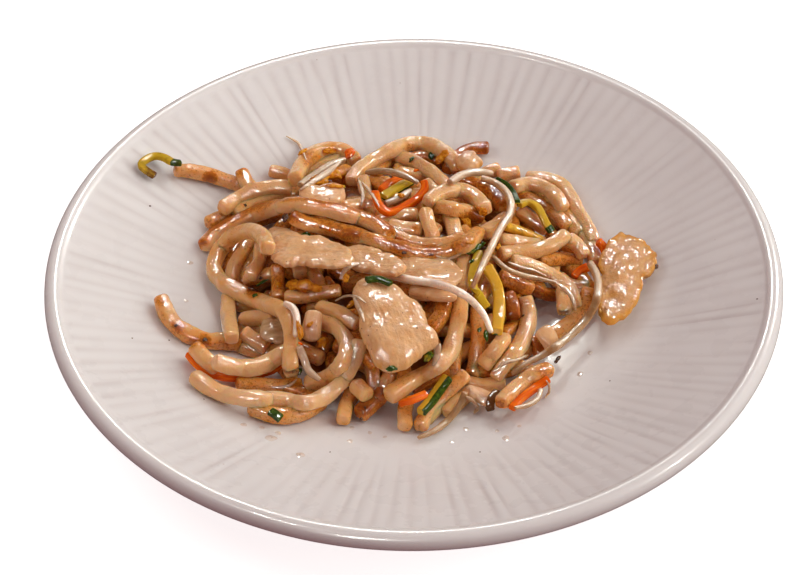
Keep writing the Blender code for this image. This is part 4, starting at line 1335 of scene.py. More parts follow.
# the side that lay on the pan, in degrees round the noodle (90 is its top), and how much more
TOAST_SIDE = {
    "brown_edge": (125.0, 0.30), "brown_crown": (60.0, 0.26), "hook": (20.0, 0.12),
    "front_fried": (60.0, 0.15), "ring_noodle": (130.0, 0.20), "far_tip": (90.0, 0.10),
    "crown_low": (10.0, 0.10),
}
# picture point, radius in mm, and how much more toast in its middle
TOASTED_PLACES = (
    (178, 326, 3.0, 0.4), (205, 340, 3.0, 0.42), (193, 343, 2.4, 0.35), (162, 300, 3.0, 0.2),
    (210, 178, 3.2, 0.5), (478, 214, 4.0, 0.5), (466, 221, 3.6, 0.35), (416, 228, 2.6, 0.35),
    (310, 158, 4.5, 0.3), (489, 148, 3.4, 0.35), (513, 320, 3.5, 0.4), (365, 408, 3.0, 0.35),
    (279, 285, 3.5, 0.15), (214, 228, 5.0, 0.15), (232, 224, 4.5, 0.2), (262, 212, 5.0, 0.2),
    (290, 216, 4.0, 0.35), (320, 208, 4.0, 0.12), (352, 235, 4.0, 0.2), (398, 246, 5.0, 0.22),
    (430, 252, 4.0, 0.2), (457, 249, 3.0, 0.15), (253, 290, 4.0, 0.35), (206, 246, 3.0, 0.2),
    (240, 172, 3.0, 0.25), (520, 286, 3.0, 0.25), (497, 190, 3.0, 0.3), (540, 350, 3.0, 0.25),
    (499, 404, 3.0, 0.3), (545, 370, 4.0, 0.25), (330, 150, 3.0, 0.15), (408, 146, 3.0, 0.15),
)
# Painted shade: more toast deeper in the clefts, where the noodles shade each other.
CLEFT_SHADE_REACH = 9.0
CLEFT_SHADE_START = 3.5
CLEFT_SHADE_EACH_MM = 0.018
CLEFT_SHADE_MOST = 0.17


def smooth_surface():
    """The pile's height with everything narrower than a noodle smoothed away."""
    x, y = np.meshgrid(pile.x, pile.y, indexing="ij")
    surface = np.maximum(np.maximum(pile.soft, pile.hard), plate_top(np.hypot(x, y)))
    weight = np.hanning(int(2 * CLEFT_SHADE_REACH / CELL) | 1)
    weight /= weight.sum()
    for axis in (0, 1):
        surface = np.apply_along_axis(np.convolve, axis, surface, weight, mode="same")
    return surface


def painted_cleft_shade(points):
    """Painted shade in the clefts, added as toast: it grows with the depth below the smooth
    surface.
    """
    level = heap_level[pile.cell(points[:, :2])]
    return np.clip((level - points[:, 2] + CLEFT_SHADE_START) * CLEFT_SHADE_EACH_MM, 0.0, CLEFT_SHADE_MOST)


heap_level = smooth_surface()
print("highest smooth level, mm:", round(float(heap_level.max()), 1))


# %% Toast at a point
def toast_at(points, base):
    """The toast at each point: the noodle's own, painted shade in the clefts, and what places
    add.
    """
    amount = base + painted_cleft_shade(points)
    seen = picture_points(points)
    for x, y, radius, more in TOASTED_PLACES:
        near = np.hypot(seen[:, 0] - x, seen[:, 1] - y) / (radius * PIXELS_PER_MM)
        amount += more * np.clip(1.0 - near, 0.0, 1.0) ** 0.7
    return amount


def noodle_look():
    """Boiled dough in oil and soy: pale and half clear, browned by the toast it carries."""
    look = Look("fried noodle")
    toast, tone = look.value("toast"), look.value("tone")
    cloud = look.noise(5.0, 4.0)
    mottle = look.noise(1.1, 3.0, 0.65, at=look.grain("grain", (0.45, 1.0, 1.0)))
    amount = look.swing(toast, cloud, 0.36)
    colour = look.ramp(
        look.swing(amount, mottle, look.span(toast, 0.2, 0.7, 0.10, 0.8)),
        (0.00, (0.75, 0.468, 0.240)),
        (0.20, (0.73, 0.408, 0.165)),
        (0.42, (0.67, 0.250, 0.034)),
        (0.62, (0.52, 0.140, 0.009)),
        (0.82, (0.26, 0.060, 0.005)),
        (1.00, (0.060, 0.015, 0.004)),
    )
    untoasted = look.span(toast, 0.15, 0.45, 1.0, 0.0)
    fresh = look.times(look.span(tone, 0.0, 1.0, 0.0, 0.35), untoasted)
    pale = look.mix(fresh, colour, (0.75, 0.46, 0.23))
    crumb = look.math("ADD", look.noise(1.1, 3.0, 0.7), look.times(toast, 0.75))
    colour = look.mix(look.span(crumb, 0.78, 0.92, 0.0, 0.65), pale, (0.27, 0.068, 0.005))
    fine, finer = look.noise(1.3, 1.5), look.noise(0.75, 1.0)
    look.relief((fine, 0.26), (finer, 0.09), (mottle, 0.02), (cloud, 0.12))
    look.set(Base_Color=colour)
    gloss(look, look.noise(2.4, 3.0), 0.45, 0.70, 0.02)
    flesh(look, 0.80, 3.4, (1.0, 0.42, 0.14))
    oil_film(look, 0.9, 0.10)
    return look


# %% The noodles
NOODLE_SEED = 3
NOODLE_SHAPE = 3.2
NOODLE_SIDES = 18
NOODLE_STEP = 0.95
NOODLE_SQUASH = 0.97
# depth of the dents as a share, their length in mm, and how many go round
NOODLE_DENTS = (0.06, 2.6, 1.2)
# sides and step of the noodles that are hardly seen
DEEP_FINENESS = (10, 1.9)
SEEN_FINENESS = (12, 1.6)


def make_noodles():
    """The heap of noodles: the ones on top where they were laid, and the deeper ones."""
    skin = Skin()
    draw = np.random.default_rng(NOODLE_SEED)
    for seed, name, half, _, line in strands_of("noodle"):
        tubed = tube(
            line, half, half * NOODLE_SQUASH, NOODLE_SHAPE, NOODLE_SIDES, NOODLE_STEP,
            seed * 1.3, relief=swells(*NOODLE_DENTS, seed * 2.1))
        points, _, _, turned = tubed
        base = TOAST.get(name, draw.uniform(*TOAST_USUAL))
        side, more = TOAST_SIDE.get(name, (draw.uniform(0.0, 360.0), TOAST_SIDE_USUAL))
        toast = toast_at(points, base) + more * np.cos(turned - math.radians(side))
        skin.add_tube(tubed, half, seed, toast=toast, tone=draw.uniform())
    deep = [(line, radius, None) for line, radius in deep_noodles]
    seen = [(line, SEEN_RADIUS, base) for line, base in gap_noodles]
    for first, lower, fineness in ((200, deep, DEEP_FINENESS), (400, seen, SEEN_FINENESS)):
        for seed, (line, half, base) in enumerate(lower, first):
            tubed = tube(line, half, half, NOODLE_SHAPE, *fineness, seed)
            base = draw.uniform(*DEEP_TOAST_AND_SHADE) if base is None else base
            toast = base + painted_cleft_shade(tubed[0])
            skin.add_tube(tubed, half, seed, toast=toast, tone=draw.uniform())
    return skin.piece("noodle_heap", noodle_look(), "noodles", "noodles")


noodles = make_noodles()
print("noodle faces:", len(noodles.data.polygons))


# %% [markdown]
# ## The heap's middle
# Nobody sees the middle of the heap, only darkness between noodles. A low mound painted the
# dark brown of that shade stands there, so no ray of light gets through to the plate.

# %% The mound under the noodles
MOUND_RINGS = 26
MOUND_SIDES = 96
MOUND_UNDER = 12.0
MOUND_REACH = 0.84
MOUND_CLEAR = 0.3
MOUND_THINNEST = 0.2
MOUND_LUMPS = 0.8


def shade_mound_look():
    """Painted shade: the dark brown of the shade between noodles, with a wet shine."""
    look = Look("painted shade middle")
    cloud = look.noise(4.0, 4.0)
    # painted shade: the colours of the darkness between the noodles
    tint = look.ramp(cloud, (0.3, (0.15, 0.036, 0.004)), (0.7, (0.34, 0.100, 0.012)))
    look.relief((look.noise(2.5, 3.0), 0.5))
    look.set(Base_Color=tint, Roughness=0.5, Specular_IOR_Level=0.05)
    oil_film(look, 0.4, 0.15)
    return look


def make_mound():
    """A closed mound: rings up over the middle and back along the plate."""
    angle = 2.0 * math.pi * np.arange(MOUND_SIDES) / MOUND_SIDES
    reach = core_radius(angle) * MOUND_REACH
    upper, lower = [], []
    for share in np.linspace(0.02, 1.0, MOUND_RINGS):
        x = CORE_MIDDLE[0] + reach * share * np.cos(angle)
        y = CORE_MIDDLE[1] + reach * share * np.sin(angle)
        low = plate_top(np.hypot(x, y)) + MOUND_CLEAR
        high = np.maximum(core_top(x, y, CORE_DEPTH + MOUND_UNDER), low + MOUND_THINNEST)
        lumps = wander(np.stack((x, y, 0.0 * x), axis=1), 5.0, 9.0) * (1.0 - share)
        upper.append(np.stack((x, y, high + MOUND_LUMPS * lumps), axis=1))
        lower.insert(0, np.stack((x, y, low), axis=1))
    points, faces = stacked(upper + lower)
    outward = [face[::-1] for face in faces]
    return new_piece("painted_shade_mound", points, outward, shade_mound_look(), "noodles")


mound = make_mound()
print("mound faces:", len(mound.data.polygons))


# %% [markdown]
# ## Bean sprouts
# Sprouts are crisp, white and half clear, with a bright wet line along their upper side. They
# taper to a thin tail. The same tube makes them, round and finer than a noodle, with its girth
# given along its length, and light sinks deep into the finish.

# %% Sprouts
SPROUT_GIRTH = ((0.0, 0.86), (0.2, 1.0), (0.75, 0.96), (1.0, 0.62))
SPROUT_SIDES = 12
SPROUT_STEP = 0.9
SPROUT_SHAPE = 2.1
SPROUT_FLAT = 0.9


def sprout_look():
    """A cooked sprout: watery white, warmer where it is thick, glassy on top."""
    look = Look("bean sprout")
    streak = look.noise(1.0, 2.0, at=look.grain("grain", (0.07, 0.7, 0.7)))
    cloud = look.noise(9.0, 2.0)
    tint = look.ramp(
        look.blend(streak, cloud, 0.25),
        (0.30, (0.30, 0.155, 0.060)),
        (0.50, (0.39, 0.225, 0.100)),
        (0.72, (0.50, 0.320, 0.170)),
    )
    tint = look.mix(look.value("pale"), tint, (0.90, 0.70, 0.56))
    brown = look.times(look.value("toast"), look.span(look.noise(3.0, 3.0), 0.35, 0.7))
    tint = look.mix(brown, tint, (0.52, 0.25, 0.07))
    look.relief((look.noise(1.5, 1.0), 0.22), (streak, 0.05))
    look.set(Base_Color=tint, Transmission_Weight=0.15, IOR=1.36)
    gloss(look, cloud, 0.45, 0.60, 0.03)
    flesh(look, 0.8, 3.0, (1.0, 0.70, 0.48))
    oil_film(look, 0.45, 0.06)
    return look


# sprout_ring's full toast darkens it partly as painted shade, since it lies high and faces the
# lamps.
SPROUT_TOAST = {
    "sprout_right": 0.35, "sprout_ring": 1.0, "sprout_inner": 0.3, "sprout_front": 0.25,
    "sprout_back": 0.2,
}
SPROUT_PALE = {"sprout_long": 1.0, "sprout_left": 0.7, "sprout_far": 0.1, "sprout_near": 0.3}


def make_sprouts():
    """Each sprout in its own place, all with one finish."""
    look = sprout_look()
    made = []
    for seed, name, half, _, line in strands_of("sprout"):
        tubed = tube(
            line, half, half * SPROUT_FLAT, SPROUT_SHAPE, SPROUT_SIDES, SPROUT_STEP, 60.0 + seed,
            uneven=0.04, blunt=0.7, girth=SPROUT_GIRTH)
        toast, pale = SPROUT_TOAST.get(name, 0.1), SPROUT_PALE.get(name, 0.0)
        skin = Skin()
        skin.add_tube(tubed, half, seed, toast=toast, pale=pale)
        made.append(skin.piece(name + "_wet", look, "sprout", name))
    return made


print("sprouts:", len(make_sprouts()))


# %% [markdown]
# ## Carrot, courgette and egg
# These were cut with a knife, so they are square strips with worn edges. Courgette has pale
# yellow flesh and a dark green skin on one side only; each strip says where its skin is, how
# green its flesh is and how browned it got. A square section in the tube gives all of them.

# %% Cut strips
STRIP_SIDES = 20
STRIP_STEP = 0.9
STRIP_SQUARE = 4.2
EGG_STEP = 0.6
EGG_SQUARE = 2.4
EGG_GIRTH = ((0.0, 0.8), (0.2, 1.5), (0.4, 1.15), (0.6, 1.8), (0.75, 1.2), (1.0, 0.9))
EGG_LOBES = (0.5, 2.6, 1.1)
HOOK_BROWNED_MM = 9.0
TIP_FROM = 0.86
# share of the way round that is skin, turned from the top by degrees; greenness; toast
COURGETTES = {
    "courgette_back": (0.30, 215.0, 0.55, 0.10),
    "courgette_arc": (0.22, 100.0, 0.42, 0.12),
    "courgette_rind": (0.62, 0.0, 0.8, 0.05),
    "courgette_brown": (0.00, 0.0, 0.05, 0.45),
    "courgette_front": (0.42, 85.0, 0.45, 0.10),
    "courgette_dark": (0.75, 0.0, 0.7, 0.85),
    "courgette_tip": (1.00, 0.0, 1.0, 0.00),
    "courgette_yellow": (0.20, 150.0, 0.55, 0.05),
    "courgette_baton": (0.16, 205.0, 0.10, 0.06),
    "courgette_rind_middle": (0.95, 0.0, 1.0, 0.05),
    "courgette_hook": (0.30, 180.0, 0.60, 0.35),
}


def carrot_look():
    """Carrot softened in the pan: deep orange, darker in streaks along the cut."""
    look = Look("carrot")
    streak = look.noise(1.0, 3.0, at=look.grain("grain", (0.10, 1.2, 1.2)))
    look.set(Base_Color=look.ramp(
        streak,
        (0.30, (0.66, 0.070, 0.0005)),
        (0.50, (0.80, 0.120, 0.001)),
        (0.72, (0.92, 0.220, 0.004)),
    ))
    look.relief((streak, 0.12), (look.noise(1.0, 3.0), 0.08))
    gloss(look, look.noise(2.5), 0.45, 0.65, 0.02)
    flesh(look, 0.30, 1.6, (1.0, 0.35, 0.08))
    oil_film(look, 0.4, 0.05)
    return look


def courgette_look():
    """Courgette: yellow-green flesh, a dark green speckled skin, and browned spots."""
    look = Look("courgette")
    skin, green, toast = look.value("skin"), look.value("green"), look.value("toast")
    cloud = look.noise(2.2, 3.0)
    greenness = look.swing(green, cloud, 0.5, clamp=True)
    inside = look.mix(greenness, (0.80, 0.42, 0.035), (0.42, 0.33, 0.008))
    rind = look.ramp(
        look.noise(0.9, 3.0),
        (0.35, (0.008, 0.026, 0.001)),
        (0.60, (0.045, 0.085, 0.002)),
        (0.75, (0.10, 0.16, 0.006)),
    )
    tint = look.mix(look.span(look.swing(skin, cloud, 0.5), 0.4, 0.6), inside, rind)
    brown = look.span(look.swing(toast, cloud, 0.9), 0.3, 0.9)
    look.set(Base_Color=look.mix(brown, tint, (0.14, 0.045, 0.008)))
    look.relief((cloud, 0.10), (look.noise(0.7, 2.0), 0.06))
    gloss(look, look.noise(2.0), 0.40, 0.60, 0.02)
    flesh(look, 0.22, 1.6, (0.8, 0.8, 0.15))
    oil_film(look, 0.5, 0.05)
    return look


def egg_look():
    """Fried egg: matt yellow with golden edges and small bubbles."""
    look = Look("fried egg")
    cloud = look.noise(1.8, 4.0)
    look.set(Base_Color=look.ramp(
        cloud,
        (0.30, (0.38, 0.09, 0.002)),
        (0.48, (0.60, 0.20, 0.006)),
        (0.70, (0.76, 0.36, 0.025)),
    ))
    look.relief((look.noise(0.9, 3.0), 0.22), (cloud, 0.2))
    gloss(look, cloud, 0.45, 0.65, 0.02)
    flesh(look, 0.25, 1.4, (1.0, 0.6, 0.15))
    oil_film(look, 0.4, 0.07)
    return look


def skin_share(turned, share, middle_deg):
    """1 where the strip's skin is, 0 on its flesh, by the angle round the strip."""
    off = turned - math.radians(90.0 + middle_deg)
    off = np.abs((off + math.pi) % (2.0 * math.pi) - math.pi)
    return (off < math.pi * share).astype(float)


def make_strips():
    """Carrot, courgette and egg strips, each with its own numbers."""
    looks = {"carrot": carrot_look(), "courgette": courgette_look(), "egg": egg_look()}
    made = []
    for seed, name, half_width, half_thick, line in strands_of("strip"):
        what = name.split("_")[0]
        shape, step, torn = STRIP_SQUARE, STRIP_STEP, {}
        if what == "egg":
            shape, step = EGG_SQUARE, EGG_STEP
            torn = {"girth": EGG_GIRTH, "relief": swells(*EGG_LOBES, aside=seed)}
        tubed = tube(
            line, half_width, half_thick, shape, STRIP_SIDES, step, 90.0 + seed,
            blunt=0.5, **torn)
        _, _, run, turned = tubed
        share, middle, green, toast = COURGETTES.get(name, (0.0, 0.0, 0.0, 0.0))
        skin_at = skin_share(turned, share, middle)
        if name == "courgette_hook":
            toast = toast + 0.5 * np.clip(1.0 - run / HOOK_BROWNED_MM, 0.0, 1.0)
        if name in ("courgette_hook", "courgette_arc"):
            skin_at = np.maximum(skin_at, run > TIP_FROM * run.max())
        skin = Skin()
        skin.add_tube(tubed, half_width, seed, skin=skin_at, green=green, toast=toast)
        made.append(skin.piece(name + "_cut", looks[what], what, name))
    return made


print("strips:", len(make_strips()))


# %% [markdown]
# ## Chicken
# Cooked breast is pale and pulls apart in fibres. The thin shreds are flattened tubes with ridges
# along them and ragged ends. The thick chunk and the thin ruffled slab start as a ball that is
# drawn out to the outline; then fibres and small lumps are added as real relief. Sculpting would
# also do it, but a rule for the fibres keeps them even and can be changed in one place.

# %% Shreds of chicken
SHRED_SIDES = 30
SHRED_STEP = 0.8
SHRED_SHAPE = 2.6
SHRED_GIRTH = ((0.0, 0.80), (0.1, 1.0), (0.5, 1.05), (0.9, 0.98), (1.0, 0.72))
SHRED_RIDGES = (0.20, 9.0, 2.2)
SHRED_TOAST = {
    "chicken_front": 0.1, "chicken_right": 0.2, "chicken_low": 0.12, "chicken_stub": 0.12,
}


def chicken_look():
    """Cooked chicken: pale cream with faint fibres, golden in places, wet on top."""
    look = Look("chicken")
    fibre = look.noise(1.0, 4.0, 0.6, at=look.grain("grain", (0.14, 1.1, 1.1)))
    cloud = look.noise(6.5, 3.0)
    tint = look.ramp(
        look.blend(fibre, cloud, 0.35),
        (0.30, (0.62, 0.290, 0.110)),
        (0.48, (0.75, 0.430, 0.205)),
        (0.64, (0.79, 0.510, 0.295)),
    )
    gold = look.swing(look.value("toast"), cloud, 1.1)
    tint = look.mix(look.span(gold, 0.22, 0.75), tint, (0.66, 0.29, 0.045))
    tint = look.mix(look.span(gold, 0.85, 1.2), tint, (0.18, 0.050, 0.008))
    tint = look.mix(look.span(fibre, 0.56, 0.70, 0.0, 0.35), tint, (0.50, 0.20, 0.055))
    speck = look.math("SUBTRACT", 1.0, look.span(look.spots(3.2), 0.06, 0.13))
    few = look.span(look.noise(7.0, 1.0), 0.50, 0.56)
    tint = look.mix(look.times(look.times(speck, few), 0.8), tint, (0.16, 0.050, 0.015))
    wet = look.span(look.noise(4.0, 2.0), 0.40, 0.56)
    look.relief((look.noise(1.3, 1.5), 0.20), (fibre, 0.10), (cloud, 0.10))
    rough = look.span(wet, 0.0, 1.0, 0.65, 0.45)
    look.set(Base_Color=tint, Roughness=rough, Specular_IOR_Level=0.03)
    flesh(look, 0.45, 2.4, (1.0, 0.55, 0.30))
    oil_film(look, look.span(wet, 0.0, 1.0, 0.35, 1.0), 0.06)
    return look


def make_shreds(look):
    """The short pulled strips of chicken."""
    made = []
    for seed, name, half_width, half_thick, line in strands_of("shred"):
        if name in CHUNKS:
            continue
        tubed = tube(
            line, half_width, half_thick, SHRED_SHAPE, SHRED_SIDES, SHRED_STEP, 120.0 + seed,
            uneven=0.08, blunt=1.4, girth=SHRED_GIRTH, relief=swells(*SHRED_RIDGES, seed * 1.9))
        skin = Skin()
        skin.add_tube(tubed, half_width, seed, toast=SHRED_TOAST[name])
        made.append(skin.piece(name + "_pulled", look, "chicken", name))
    return made


# %% Flakes and chunks of chicken
# The wide pulled flakes: thickness, ruffle, lean, height of the middle, and outline.
FLAKES = """
chicken_left 5.2 0.5 0.1 -0.34 35.5: 268,240 266,231 273,225 281,231 288,229 297,236 312,238
    330,242 345,248 353,258 350,269 336,267 320,266 303,264 288,266 276,262 271,252
chicken_top 5.0 0.4 0.12 -0.18 38.6: 342,252 350,247 366,249 384,255 399,261 407,268 401,276
    386,275 370,270 354,268 345,262
chicken_shred 4.6 0.4 0.05 -0.3 34.8: 398,262 406,256 420,259 436,260 450,262 460,270 461,281
    452,288 438,287 422,282 408,279 399,272
"""
CHUNK_SPLITS = 6
SMALL_SPLITS = 5
BIG_CHUNK = 12.0
EDGE_ANGLES = 240
EDGE_ROUNDING = 10
CHUNK_GRIT = 0.22
FIBRE_SIZE = (9.0, 1.3, 3.0)
RIM_FROM = 0.72
# direction of the fibres in degrees, depth of fibres and of lumps in mm, toast inside and at the
# rim, and the raggedness of the edge
CHUNKS = {
    "chicken_back": (10.0, 0.14, 0.5, 0.10, 0.20, 0.05),
    "chicken_far": (60.0, 0.30, 1.1, 0.16, 0.35, 0.12),
    # chicken_slab's toast inside is partly golden browning and partly painted shade, as it faces
    # away from the wide lamp.
    "chicken_slab": (75.0, 0.18, 1.7, 0.38, 0.55, 0.04),
    "onion_left": (20.0, 0.60, 0.7, 0.05, 0.25, 0.10),
    "chicken_chunk": (112.0, 0.18, 0.8, 0.12, 0.32, 0.035),
    "chicken_left": (-8.0, 0.24, 0.9, 0.00, 0.34, 0.06),
    "chicken_top": (-15.0, 0.24, 0.8, 0.00, 0.38, 0.05),
    "chicken_shred": (-10.0, 0.26, 0.9, 0.00, 0.30, 0.05),
}


def onion_look():
    """Soft onion: half clear layers."""
    look = Look("onion")
    layer = look.noise(2.6, 2.0, at=look.grain("grain", (0.3, 1.0, 1.0)))
    look.set(Base_Color=look.ramp(layer, (0.35, (0.40, 0.23, 0.10)), (0.65, (0.57, 0.37, 0.20))))
    look.relief((layer, 0.35))
    gloss(look, layer, 0.45, 0.60, 0.03)
    flesh(look, 0.5, 2.0, (1.0, 0.7, 0.45))
    oil_film(look, 0.6, 0.06)
    return look


def ragged_edge(chunk, rough):
    """The chunk's outline with its corners rounded off, and small nicks in it."""
    angles = np.linspace(-math.pi, math.pi, EDGE_ANGLES, endpoint=False)
    radii = chunk_edge(chunk, angles)
    weight = np.hanning(2 * EDGE_ROUNDING + 1)
    wide = np.concatenate((radii[-EDGE_ROUNDING:], radii, radii[:EDGE_ROUNDING]))
    radii = np.convolve(wide, weight / weight.sum(), mode="valid")
    rim = np.stack((radii * np.cos(angles), radii * np.sin(angles), 0.0 * angles), axis=1)
    nicks = wander(rim, 1.9, 4.0) + 1.4 * wander(rim, 4.5, 8.0)
    return angles, radii * (1.0 + rough * nicks)


def unit_ball(splits):
    """The points and faces of a ball with a radius of 1, split this many times."""
    ball = bmesh.new()
    bmesh.ops.create_icosphere(ball, subdivisions=splits, radius=1.0)
    points = np.array([v.co for v in ball.verts])
    faces = [[v.index for v in face.verts] for face in ball.faces]
    ball.free()
    return points, faces


def make_chunk(name, chunk, look, slot):
    """A ball drawn out to the chunk's outline, flattened, and given fibres and lumps."""
    heading, fibre, lump, inner, rim, rough = CHUNKS[name]
    unit, faces = unit_ball(CHUNK_SPLITS if max(chunk["radii"]) > BIG_CHUNK else SMALL_SPLITS)
    angle = np.arctan2(unit[:, 1], unit[:, 0])
    out = np.minimum(np.hypot(unit[:, 0], unit[:, 1]) ** CHUNK_SQUARENESS, 1.0)
    edge = np.interp(angle, *ragged_edge(chunk, rough), period=2.0 * math.pi)
    order = np.argsort(angle)
    soft = {**chunk, "ruffle": 0.2 * chunk["ruffle"]}
    soft.update(angles=angle[order], radii=edge[order])
    x = chunk["middle"][0] + out * edge * np.cos(angle)
    y = chunk["middle"][1] + out * edge * np.sin(angle)
    side = np.where(unit[:, 2] > 0.0, 1.0, -1.0)
    z, _ = chunk_surface(soft, x, y, side)
    turn = math.radians(heading)
    along = x * math.cos(turn) + y * math.sin(turn)
    across = y * math.cos(turn) - x * math.sin(turn)
    threads = wander(np.stack((along, across, z), axis=1) / FIBRE_SIZE, 1.0, 2.0)
    place = np.stack((x, y, z), axis=1)
    lumps = wander(place, 9.0, 7.0) + 0.3 * wander(place, 3.4, 3.0)
    up = np.clip(unit[:, 2], 0.0, 1.0) ** 0.5
    z = z + up * (fibre * threads + lump * lumps + CHUNK_GRIT * wander(place, 1.5, 5.0))
    toast = inner + rim * np.clip((out - RIM_FROM) / (1.0 - RIM_FROM), 0.0, 1.0) ** 2.0
    grain = np.stack((along, across, z), axis=1)
    skin = Skin()
    skin.add(np.stack((x, y, z), axis=1), faces, toast=toast, grain=grain)
    return skin.piece(name + "_cooked", look, slot, name)


def make_meat():
    """All chicken, and the onion that is made the same way."""
    chicken, onion = chicken_look(), onion_look()
    made = make_shreds(chicken)
    flakes = {name: place_chunk(numbers[:2], numbers[2:4], outline, numbers[4])
              for (name,), numbers, outline in table(FLAKES)}
    for name, chunk in {**chunks, **flakes}.items():
        slot = name.split("_")[0]
        made.append(make_chunk(name, chunk, onion if slot == "onion" else chicken, slot))
    return made


print("chicken and onion pieces:", len(make_meat()))


# %% [markdown]
# ## Small bits
# Crumbs of egg, scraps of courgette skin, burnt specks and a few ends of carrot and sprout stick
# to the noodles. Each is given by its picture point, length, width and heading; it is put where
# the sight line first meets the pile, and laid flat along the surface there. Scattering them by
# chance would be quicker, but then they would not lie where a cook would see them.

# %% Where a bit lands
SURFACE = np.maximum(pile.soft, pile.hard)
LAND_FROM = 62.0
LAND_TO = 5.0
LAND_STEP = 0.1
LAND_STEEPEST = 0.8


def land(pixel):
    """The first point of the pile or the plate on the sight line through this picture point."""
    heights = np.arange(LAND_FROM, LAND_TO, -LAND_STEP)
    line = on_sight_line(np.repeat([pixel], len(heights), axis=0), heights)
    glaze = plate_top(np.hypot(line[:, 0], line[:, 1]))
    ground = np.maximum(SURFACE[pile.cell(line[:, :2])], glaze)
    return line[np.argmax(line[:, 2] < ground)]


def land_frame(pixel, heading_deg):
    """A landing point, and the directions along, across and up for a bit with this heading."""
    middle = land(pixel)
    turn = math.radians(heading_deg)
    next_pixel = (pixel[0] + math.cos(turn), pixel[1] - math.sin(turn))
    ahead = on_sight_line([next_pixel], middle[2])[0] - middle
    row, column = (int(k) for k in np.ravel(pile.cell(middle[None, :2])))
    near = SURFACE[row - 2:row + 3, column - 2:column + 3]
    rise = [np.clip(slope.mean(), -LAND_STEEPEST, LAND_STEEPEST)
            for slope in np.gradient(near, CELL)]
    up = np.array((-rise[0], -rise[1], 1.0))
    up /= np.linalg.norm(up)
    along = ahead - up * (ahead @ up)
    along /= np.linalg.norm(along)
    return middle, along, np.cross(up, along), up


print("landing at the picture's middle, mm:", land((400, 300)).round(1))


# %% Shapes of bits
BIT_SPLITS = 4
BIT_SINK = 0.25
BIT_BOW = 0.10
BIT_LOBES = 0.45
BIT_NICKS = 0.25


def make_bit(batch, pixel, length, width, heading, thick, seed, **values):
    """A small lump, longer than wide, with a ragged edge and a rough top."""
    unit, faces = unit_ball(BIT_SPLITS)
    half = np.array((length / PIXELS_PER_MM, width / PIXELS_PER_MM, thick)) / 2.0
    lobes = wander(unit * (3.0, 3.0, 1.5), 2.6, seed)
    nicks = wander(unit * 3.0, 1.1, seed + 9.0)
    ragged = 1.0 + BIT_LOBES * lobes + BIT_NICKS * nicks
    local = unit * half * ragged[:, None]
    bow = BIT_BOW * half[0] * (1.0 - unit[:, 0] ** 2)
    middle, along, across, up = land_frame(pixel, heading)
    aside = local[:, 1:2] + bow[:, None]
    points = middle + up * (BIT_SINK * thick)
    points = points + local[:, :1] * along + aside * across + local[:, 2:] * up
    grain = np.stack((local[:, 0] + 20.0 * seed, local[:, 1], local[:, 2]), axis=1)
    batch.add(points, faces, grain=grain, **values)


# picture point, length and width in the picture, heading, thickness in mm, and share of rind
GREEN_BITS = (
    ((306, 236), 12, 6, 6, 1.6, 1.0), ((263, 283), 14, 3, 12, 1.0, 1.0),
    ((255, 296), 5, 4, 0, 1.2, 1.0), ((428, 357), 12, 7, 60, 2.4, 0.55),
    ((487, 335), 11, 5, 75, 1.8, 1.0), ((474, 250), 18, 7, 28, 2.2, 0.6),
    ((482, 245), 9, 4, 35, 1.4, 1.0), ((299, 372), 9, 5, 80, 1.6, 0.9),
    ((432, 156), 8, 6, 60, 1.6, 1.0), ((412, 160), 7, 4, 20, 1.4, 0.8),
    ((391, 369), 11, 5, 10, 1.6, 0.8), ((472, 262), 6, 4, 60, 1.4, 0.7),
    ((480, 330), 5, 4, 40, 1.2, 1.0), ((343, 187), 5, 3, 30, 1.0, 0.3),
)
EGG_BITS = (
    ((322, 343), 13, 9, 50, 2.6), ((517, 298), 9, 7, 70, 2.2), ((299, 331), 6, 22, 8, 1.8),
    ((352, 305), 11, 6, 20, 1.8), ((335, 187), 17, 6, 5, 1.6), ((443, 158), 16, 9, 20, 2.2),
    ((466, 223), 15, 8, -30, 1.8), ((484, 212), 10, 8, 0, 1.8), ((449, 264), 16, 5, -10, 1.6),
    ((279, 286), 7, 6, 30, 1.6), ((298, 385), 6, 5, 0, 1.4), ((330, 151), 16, 8, 10, 1.8),
    ((303, 153), 12, 9, 50, 1.8), ((470, 243), 9, 4, 10, 1.2), ((498, 247), 8, 4, 50, 1.2),
    ((310, 325), 7, 5, 40, 1.6), ((344, 278), 9, 9, 0, 2.0), ((401, 196), 7, 5, 0, 1.4),
)
BURNT_BITS = (
    ((286, 218), 9, 7, 40, 1.6), ((261, 278), 3, 3, 0, 0.8), ((557, 360), 9, 4, 50, 1.2),
    ((246, 206), 5, 4, 0, 0.8), ((365, 408), 3, 3, 0, 0.6), ((361, 419), 3, 3, 0, 0.6),
    ((656, 267), 6, 4, 60, 1.2), ((176, 326), 4, 3, 0, 0.6), ((205, 340), 6, 4, 20, 0.7),
    ((252, 290), 12, 9, 30, 1.2), ((431, 255), 5, 3, 0, 0.6), ((321, 227), 4, 3, 0, 0.6),
    ((523, 316), 4, 3, 0, 0.6), ((404, 253), 5, 3, 10, 0.6), ((419, 243), 4, 3, 0, 0.6),
)
CARROT_BITS = (
    ((350, 154), 14, 9, 62, 2.2), ((352, 216), 5, 3, 0, 0.9), ((300, 344), 5, 4, 30, 1.0),
    ((416, 172), 10, 5, 25, 1.6), ((330, 230), 4, 3, 0, 0.8),
)


def burnt_look():
    """Burnt crumbs: dark brown to black, with a dull shine."""
    look = Look("burnt crumbs")
    look.set(Base_Color=look.ramp(
        look.noise(1.2, 3.0),
        (0.35, (0.030, 0.010, 0.004)),
        (0.60, (0.120, 0.035, 0.008)),
        (0.75, (0.30, 0.10, 0.015)),
    ))
    look.relief((look.noise(0.5, 2.0), 0.12))
    gloss(look, look.noise(1.0), 0.35, 0.60, 0.05)
    oil_film(look, 0.25, 0.12)
    return look


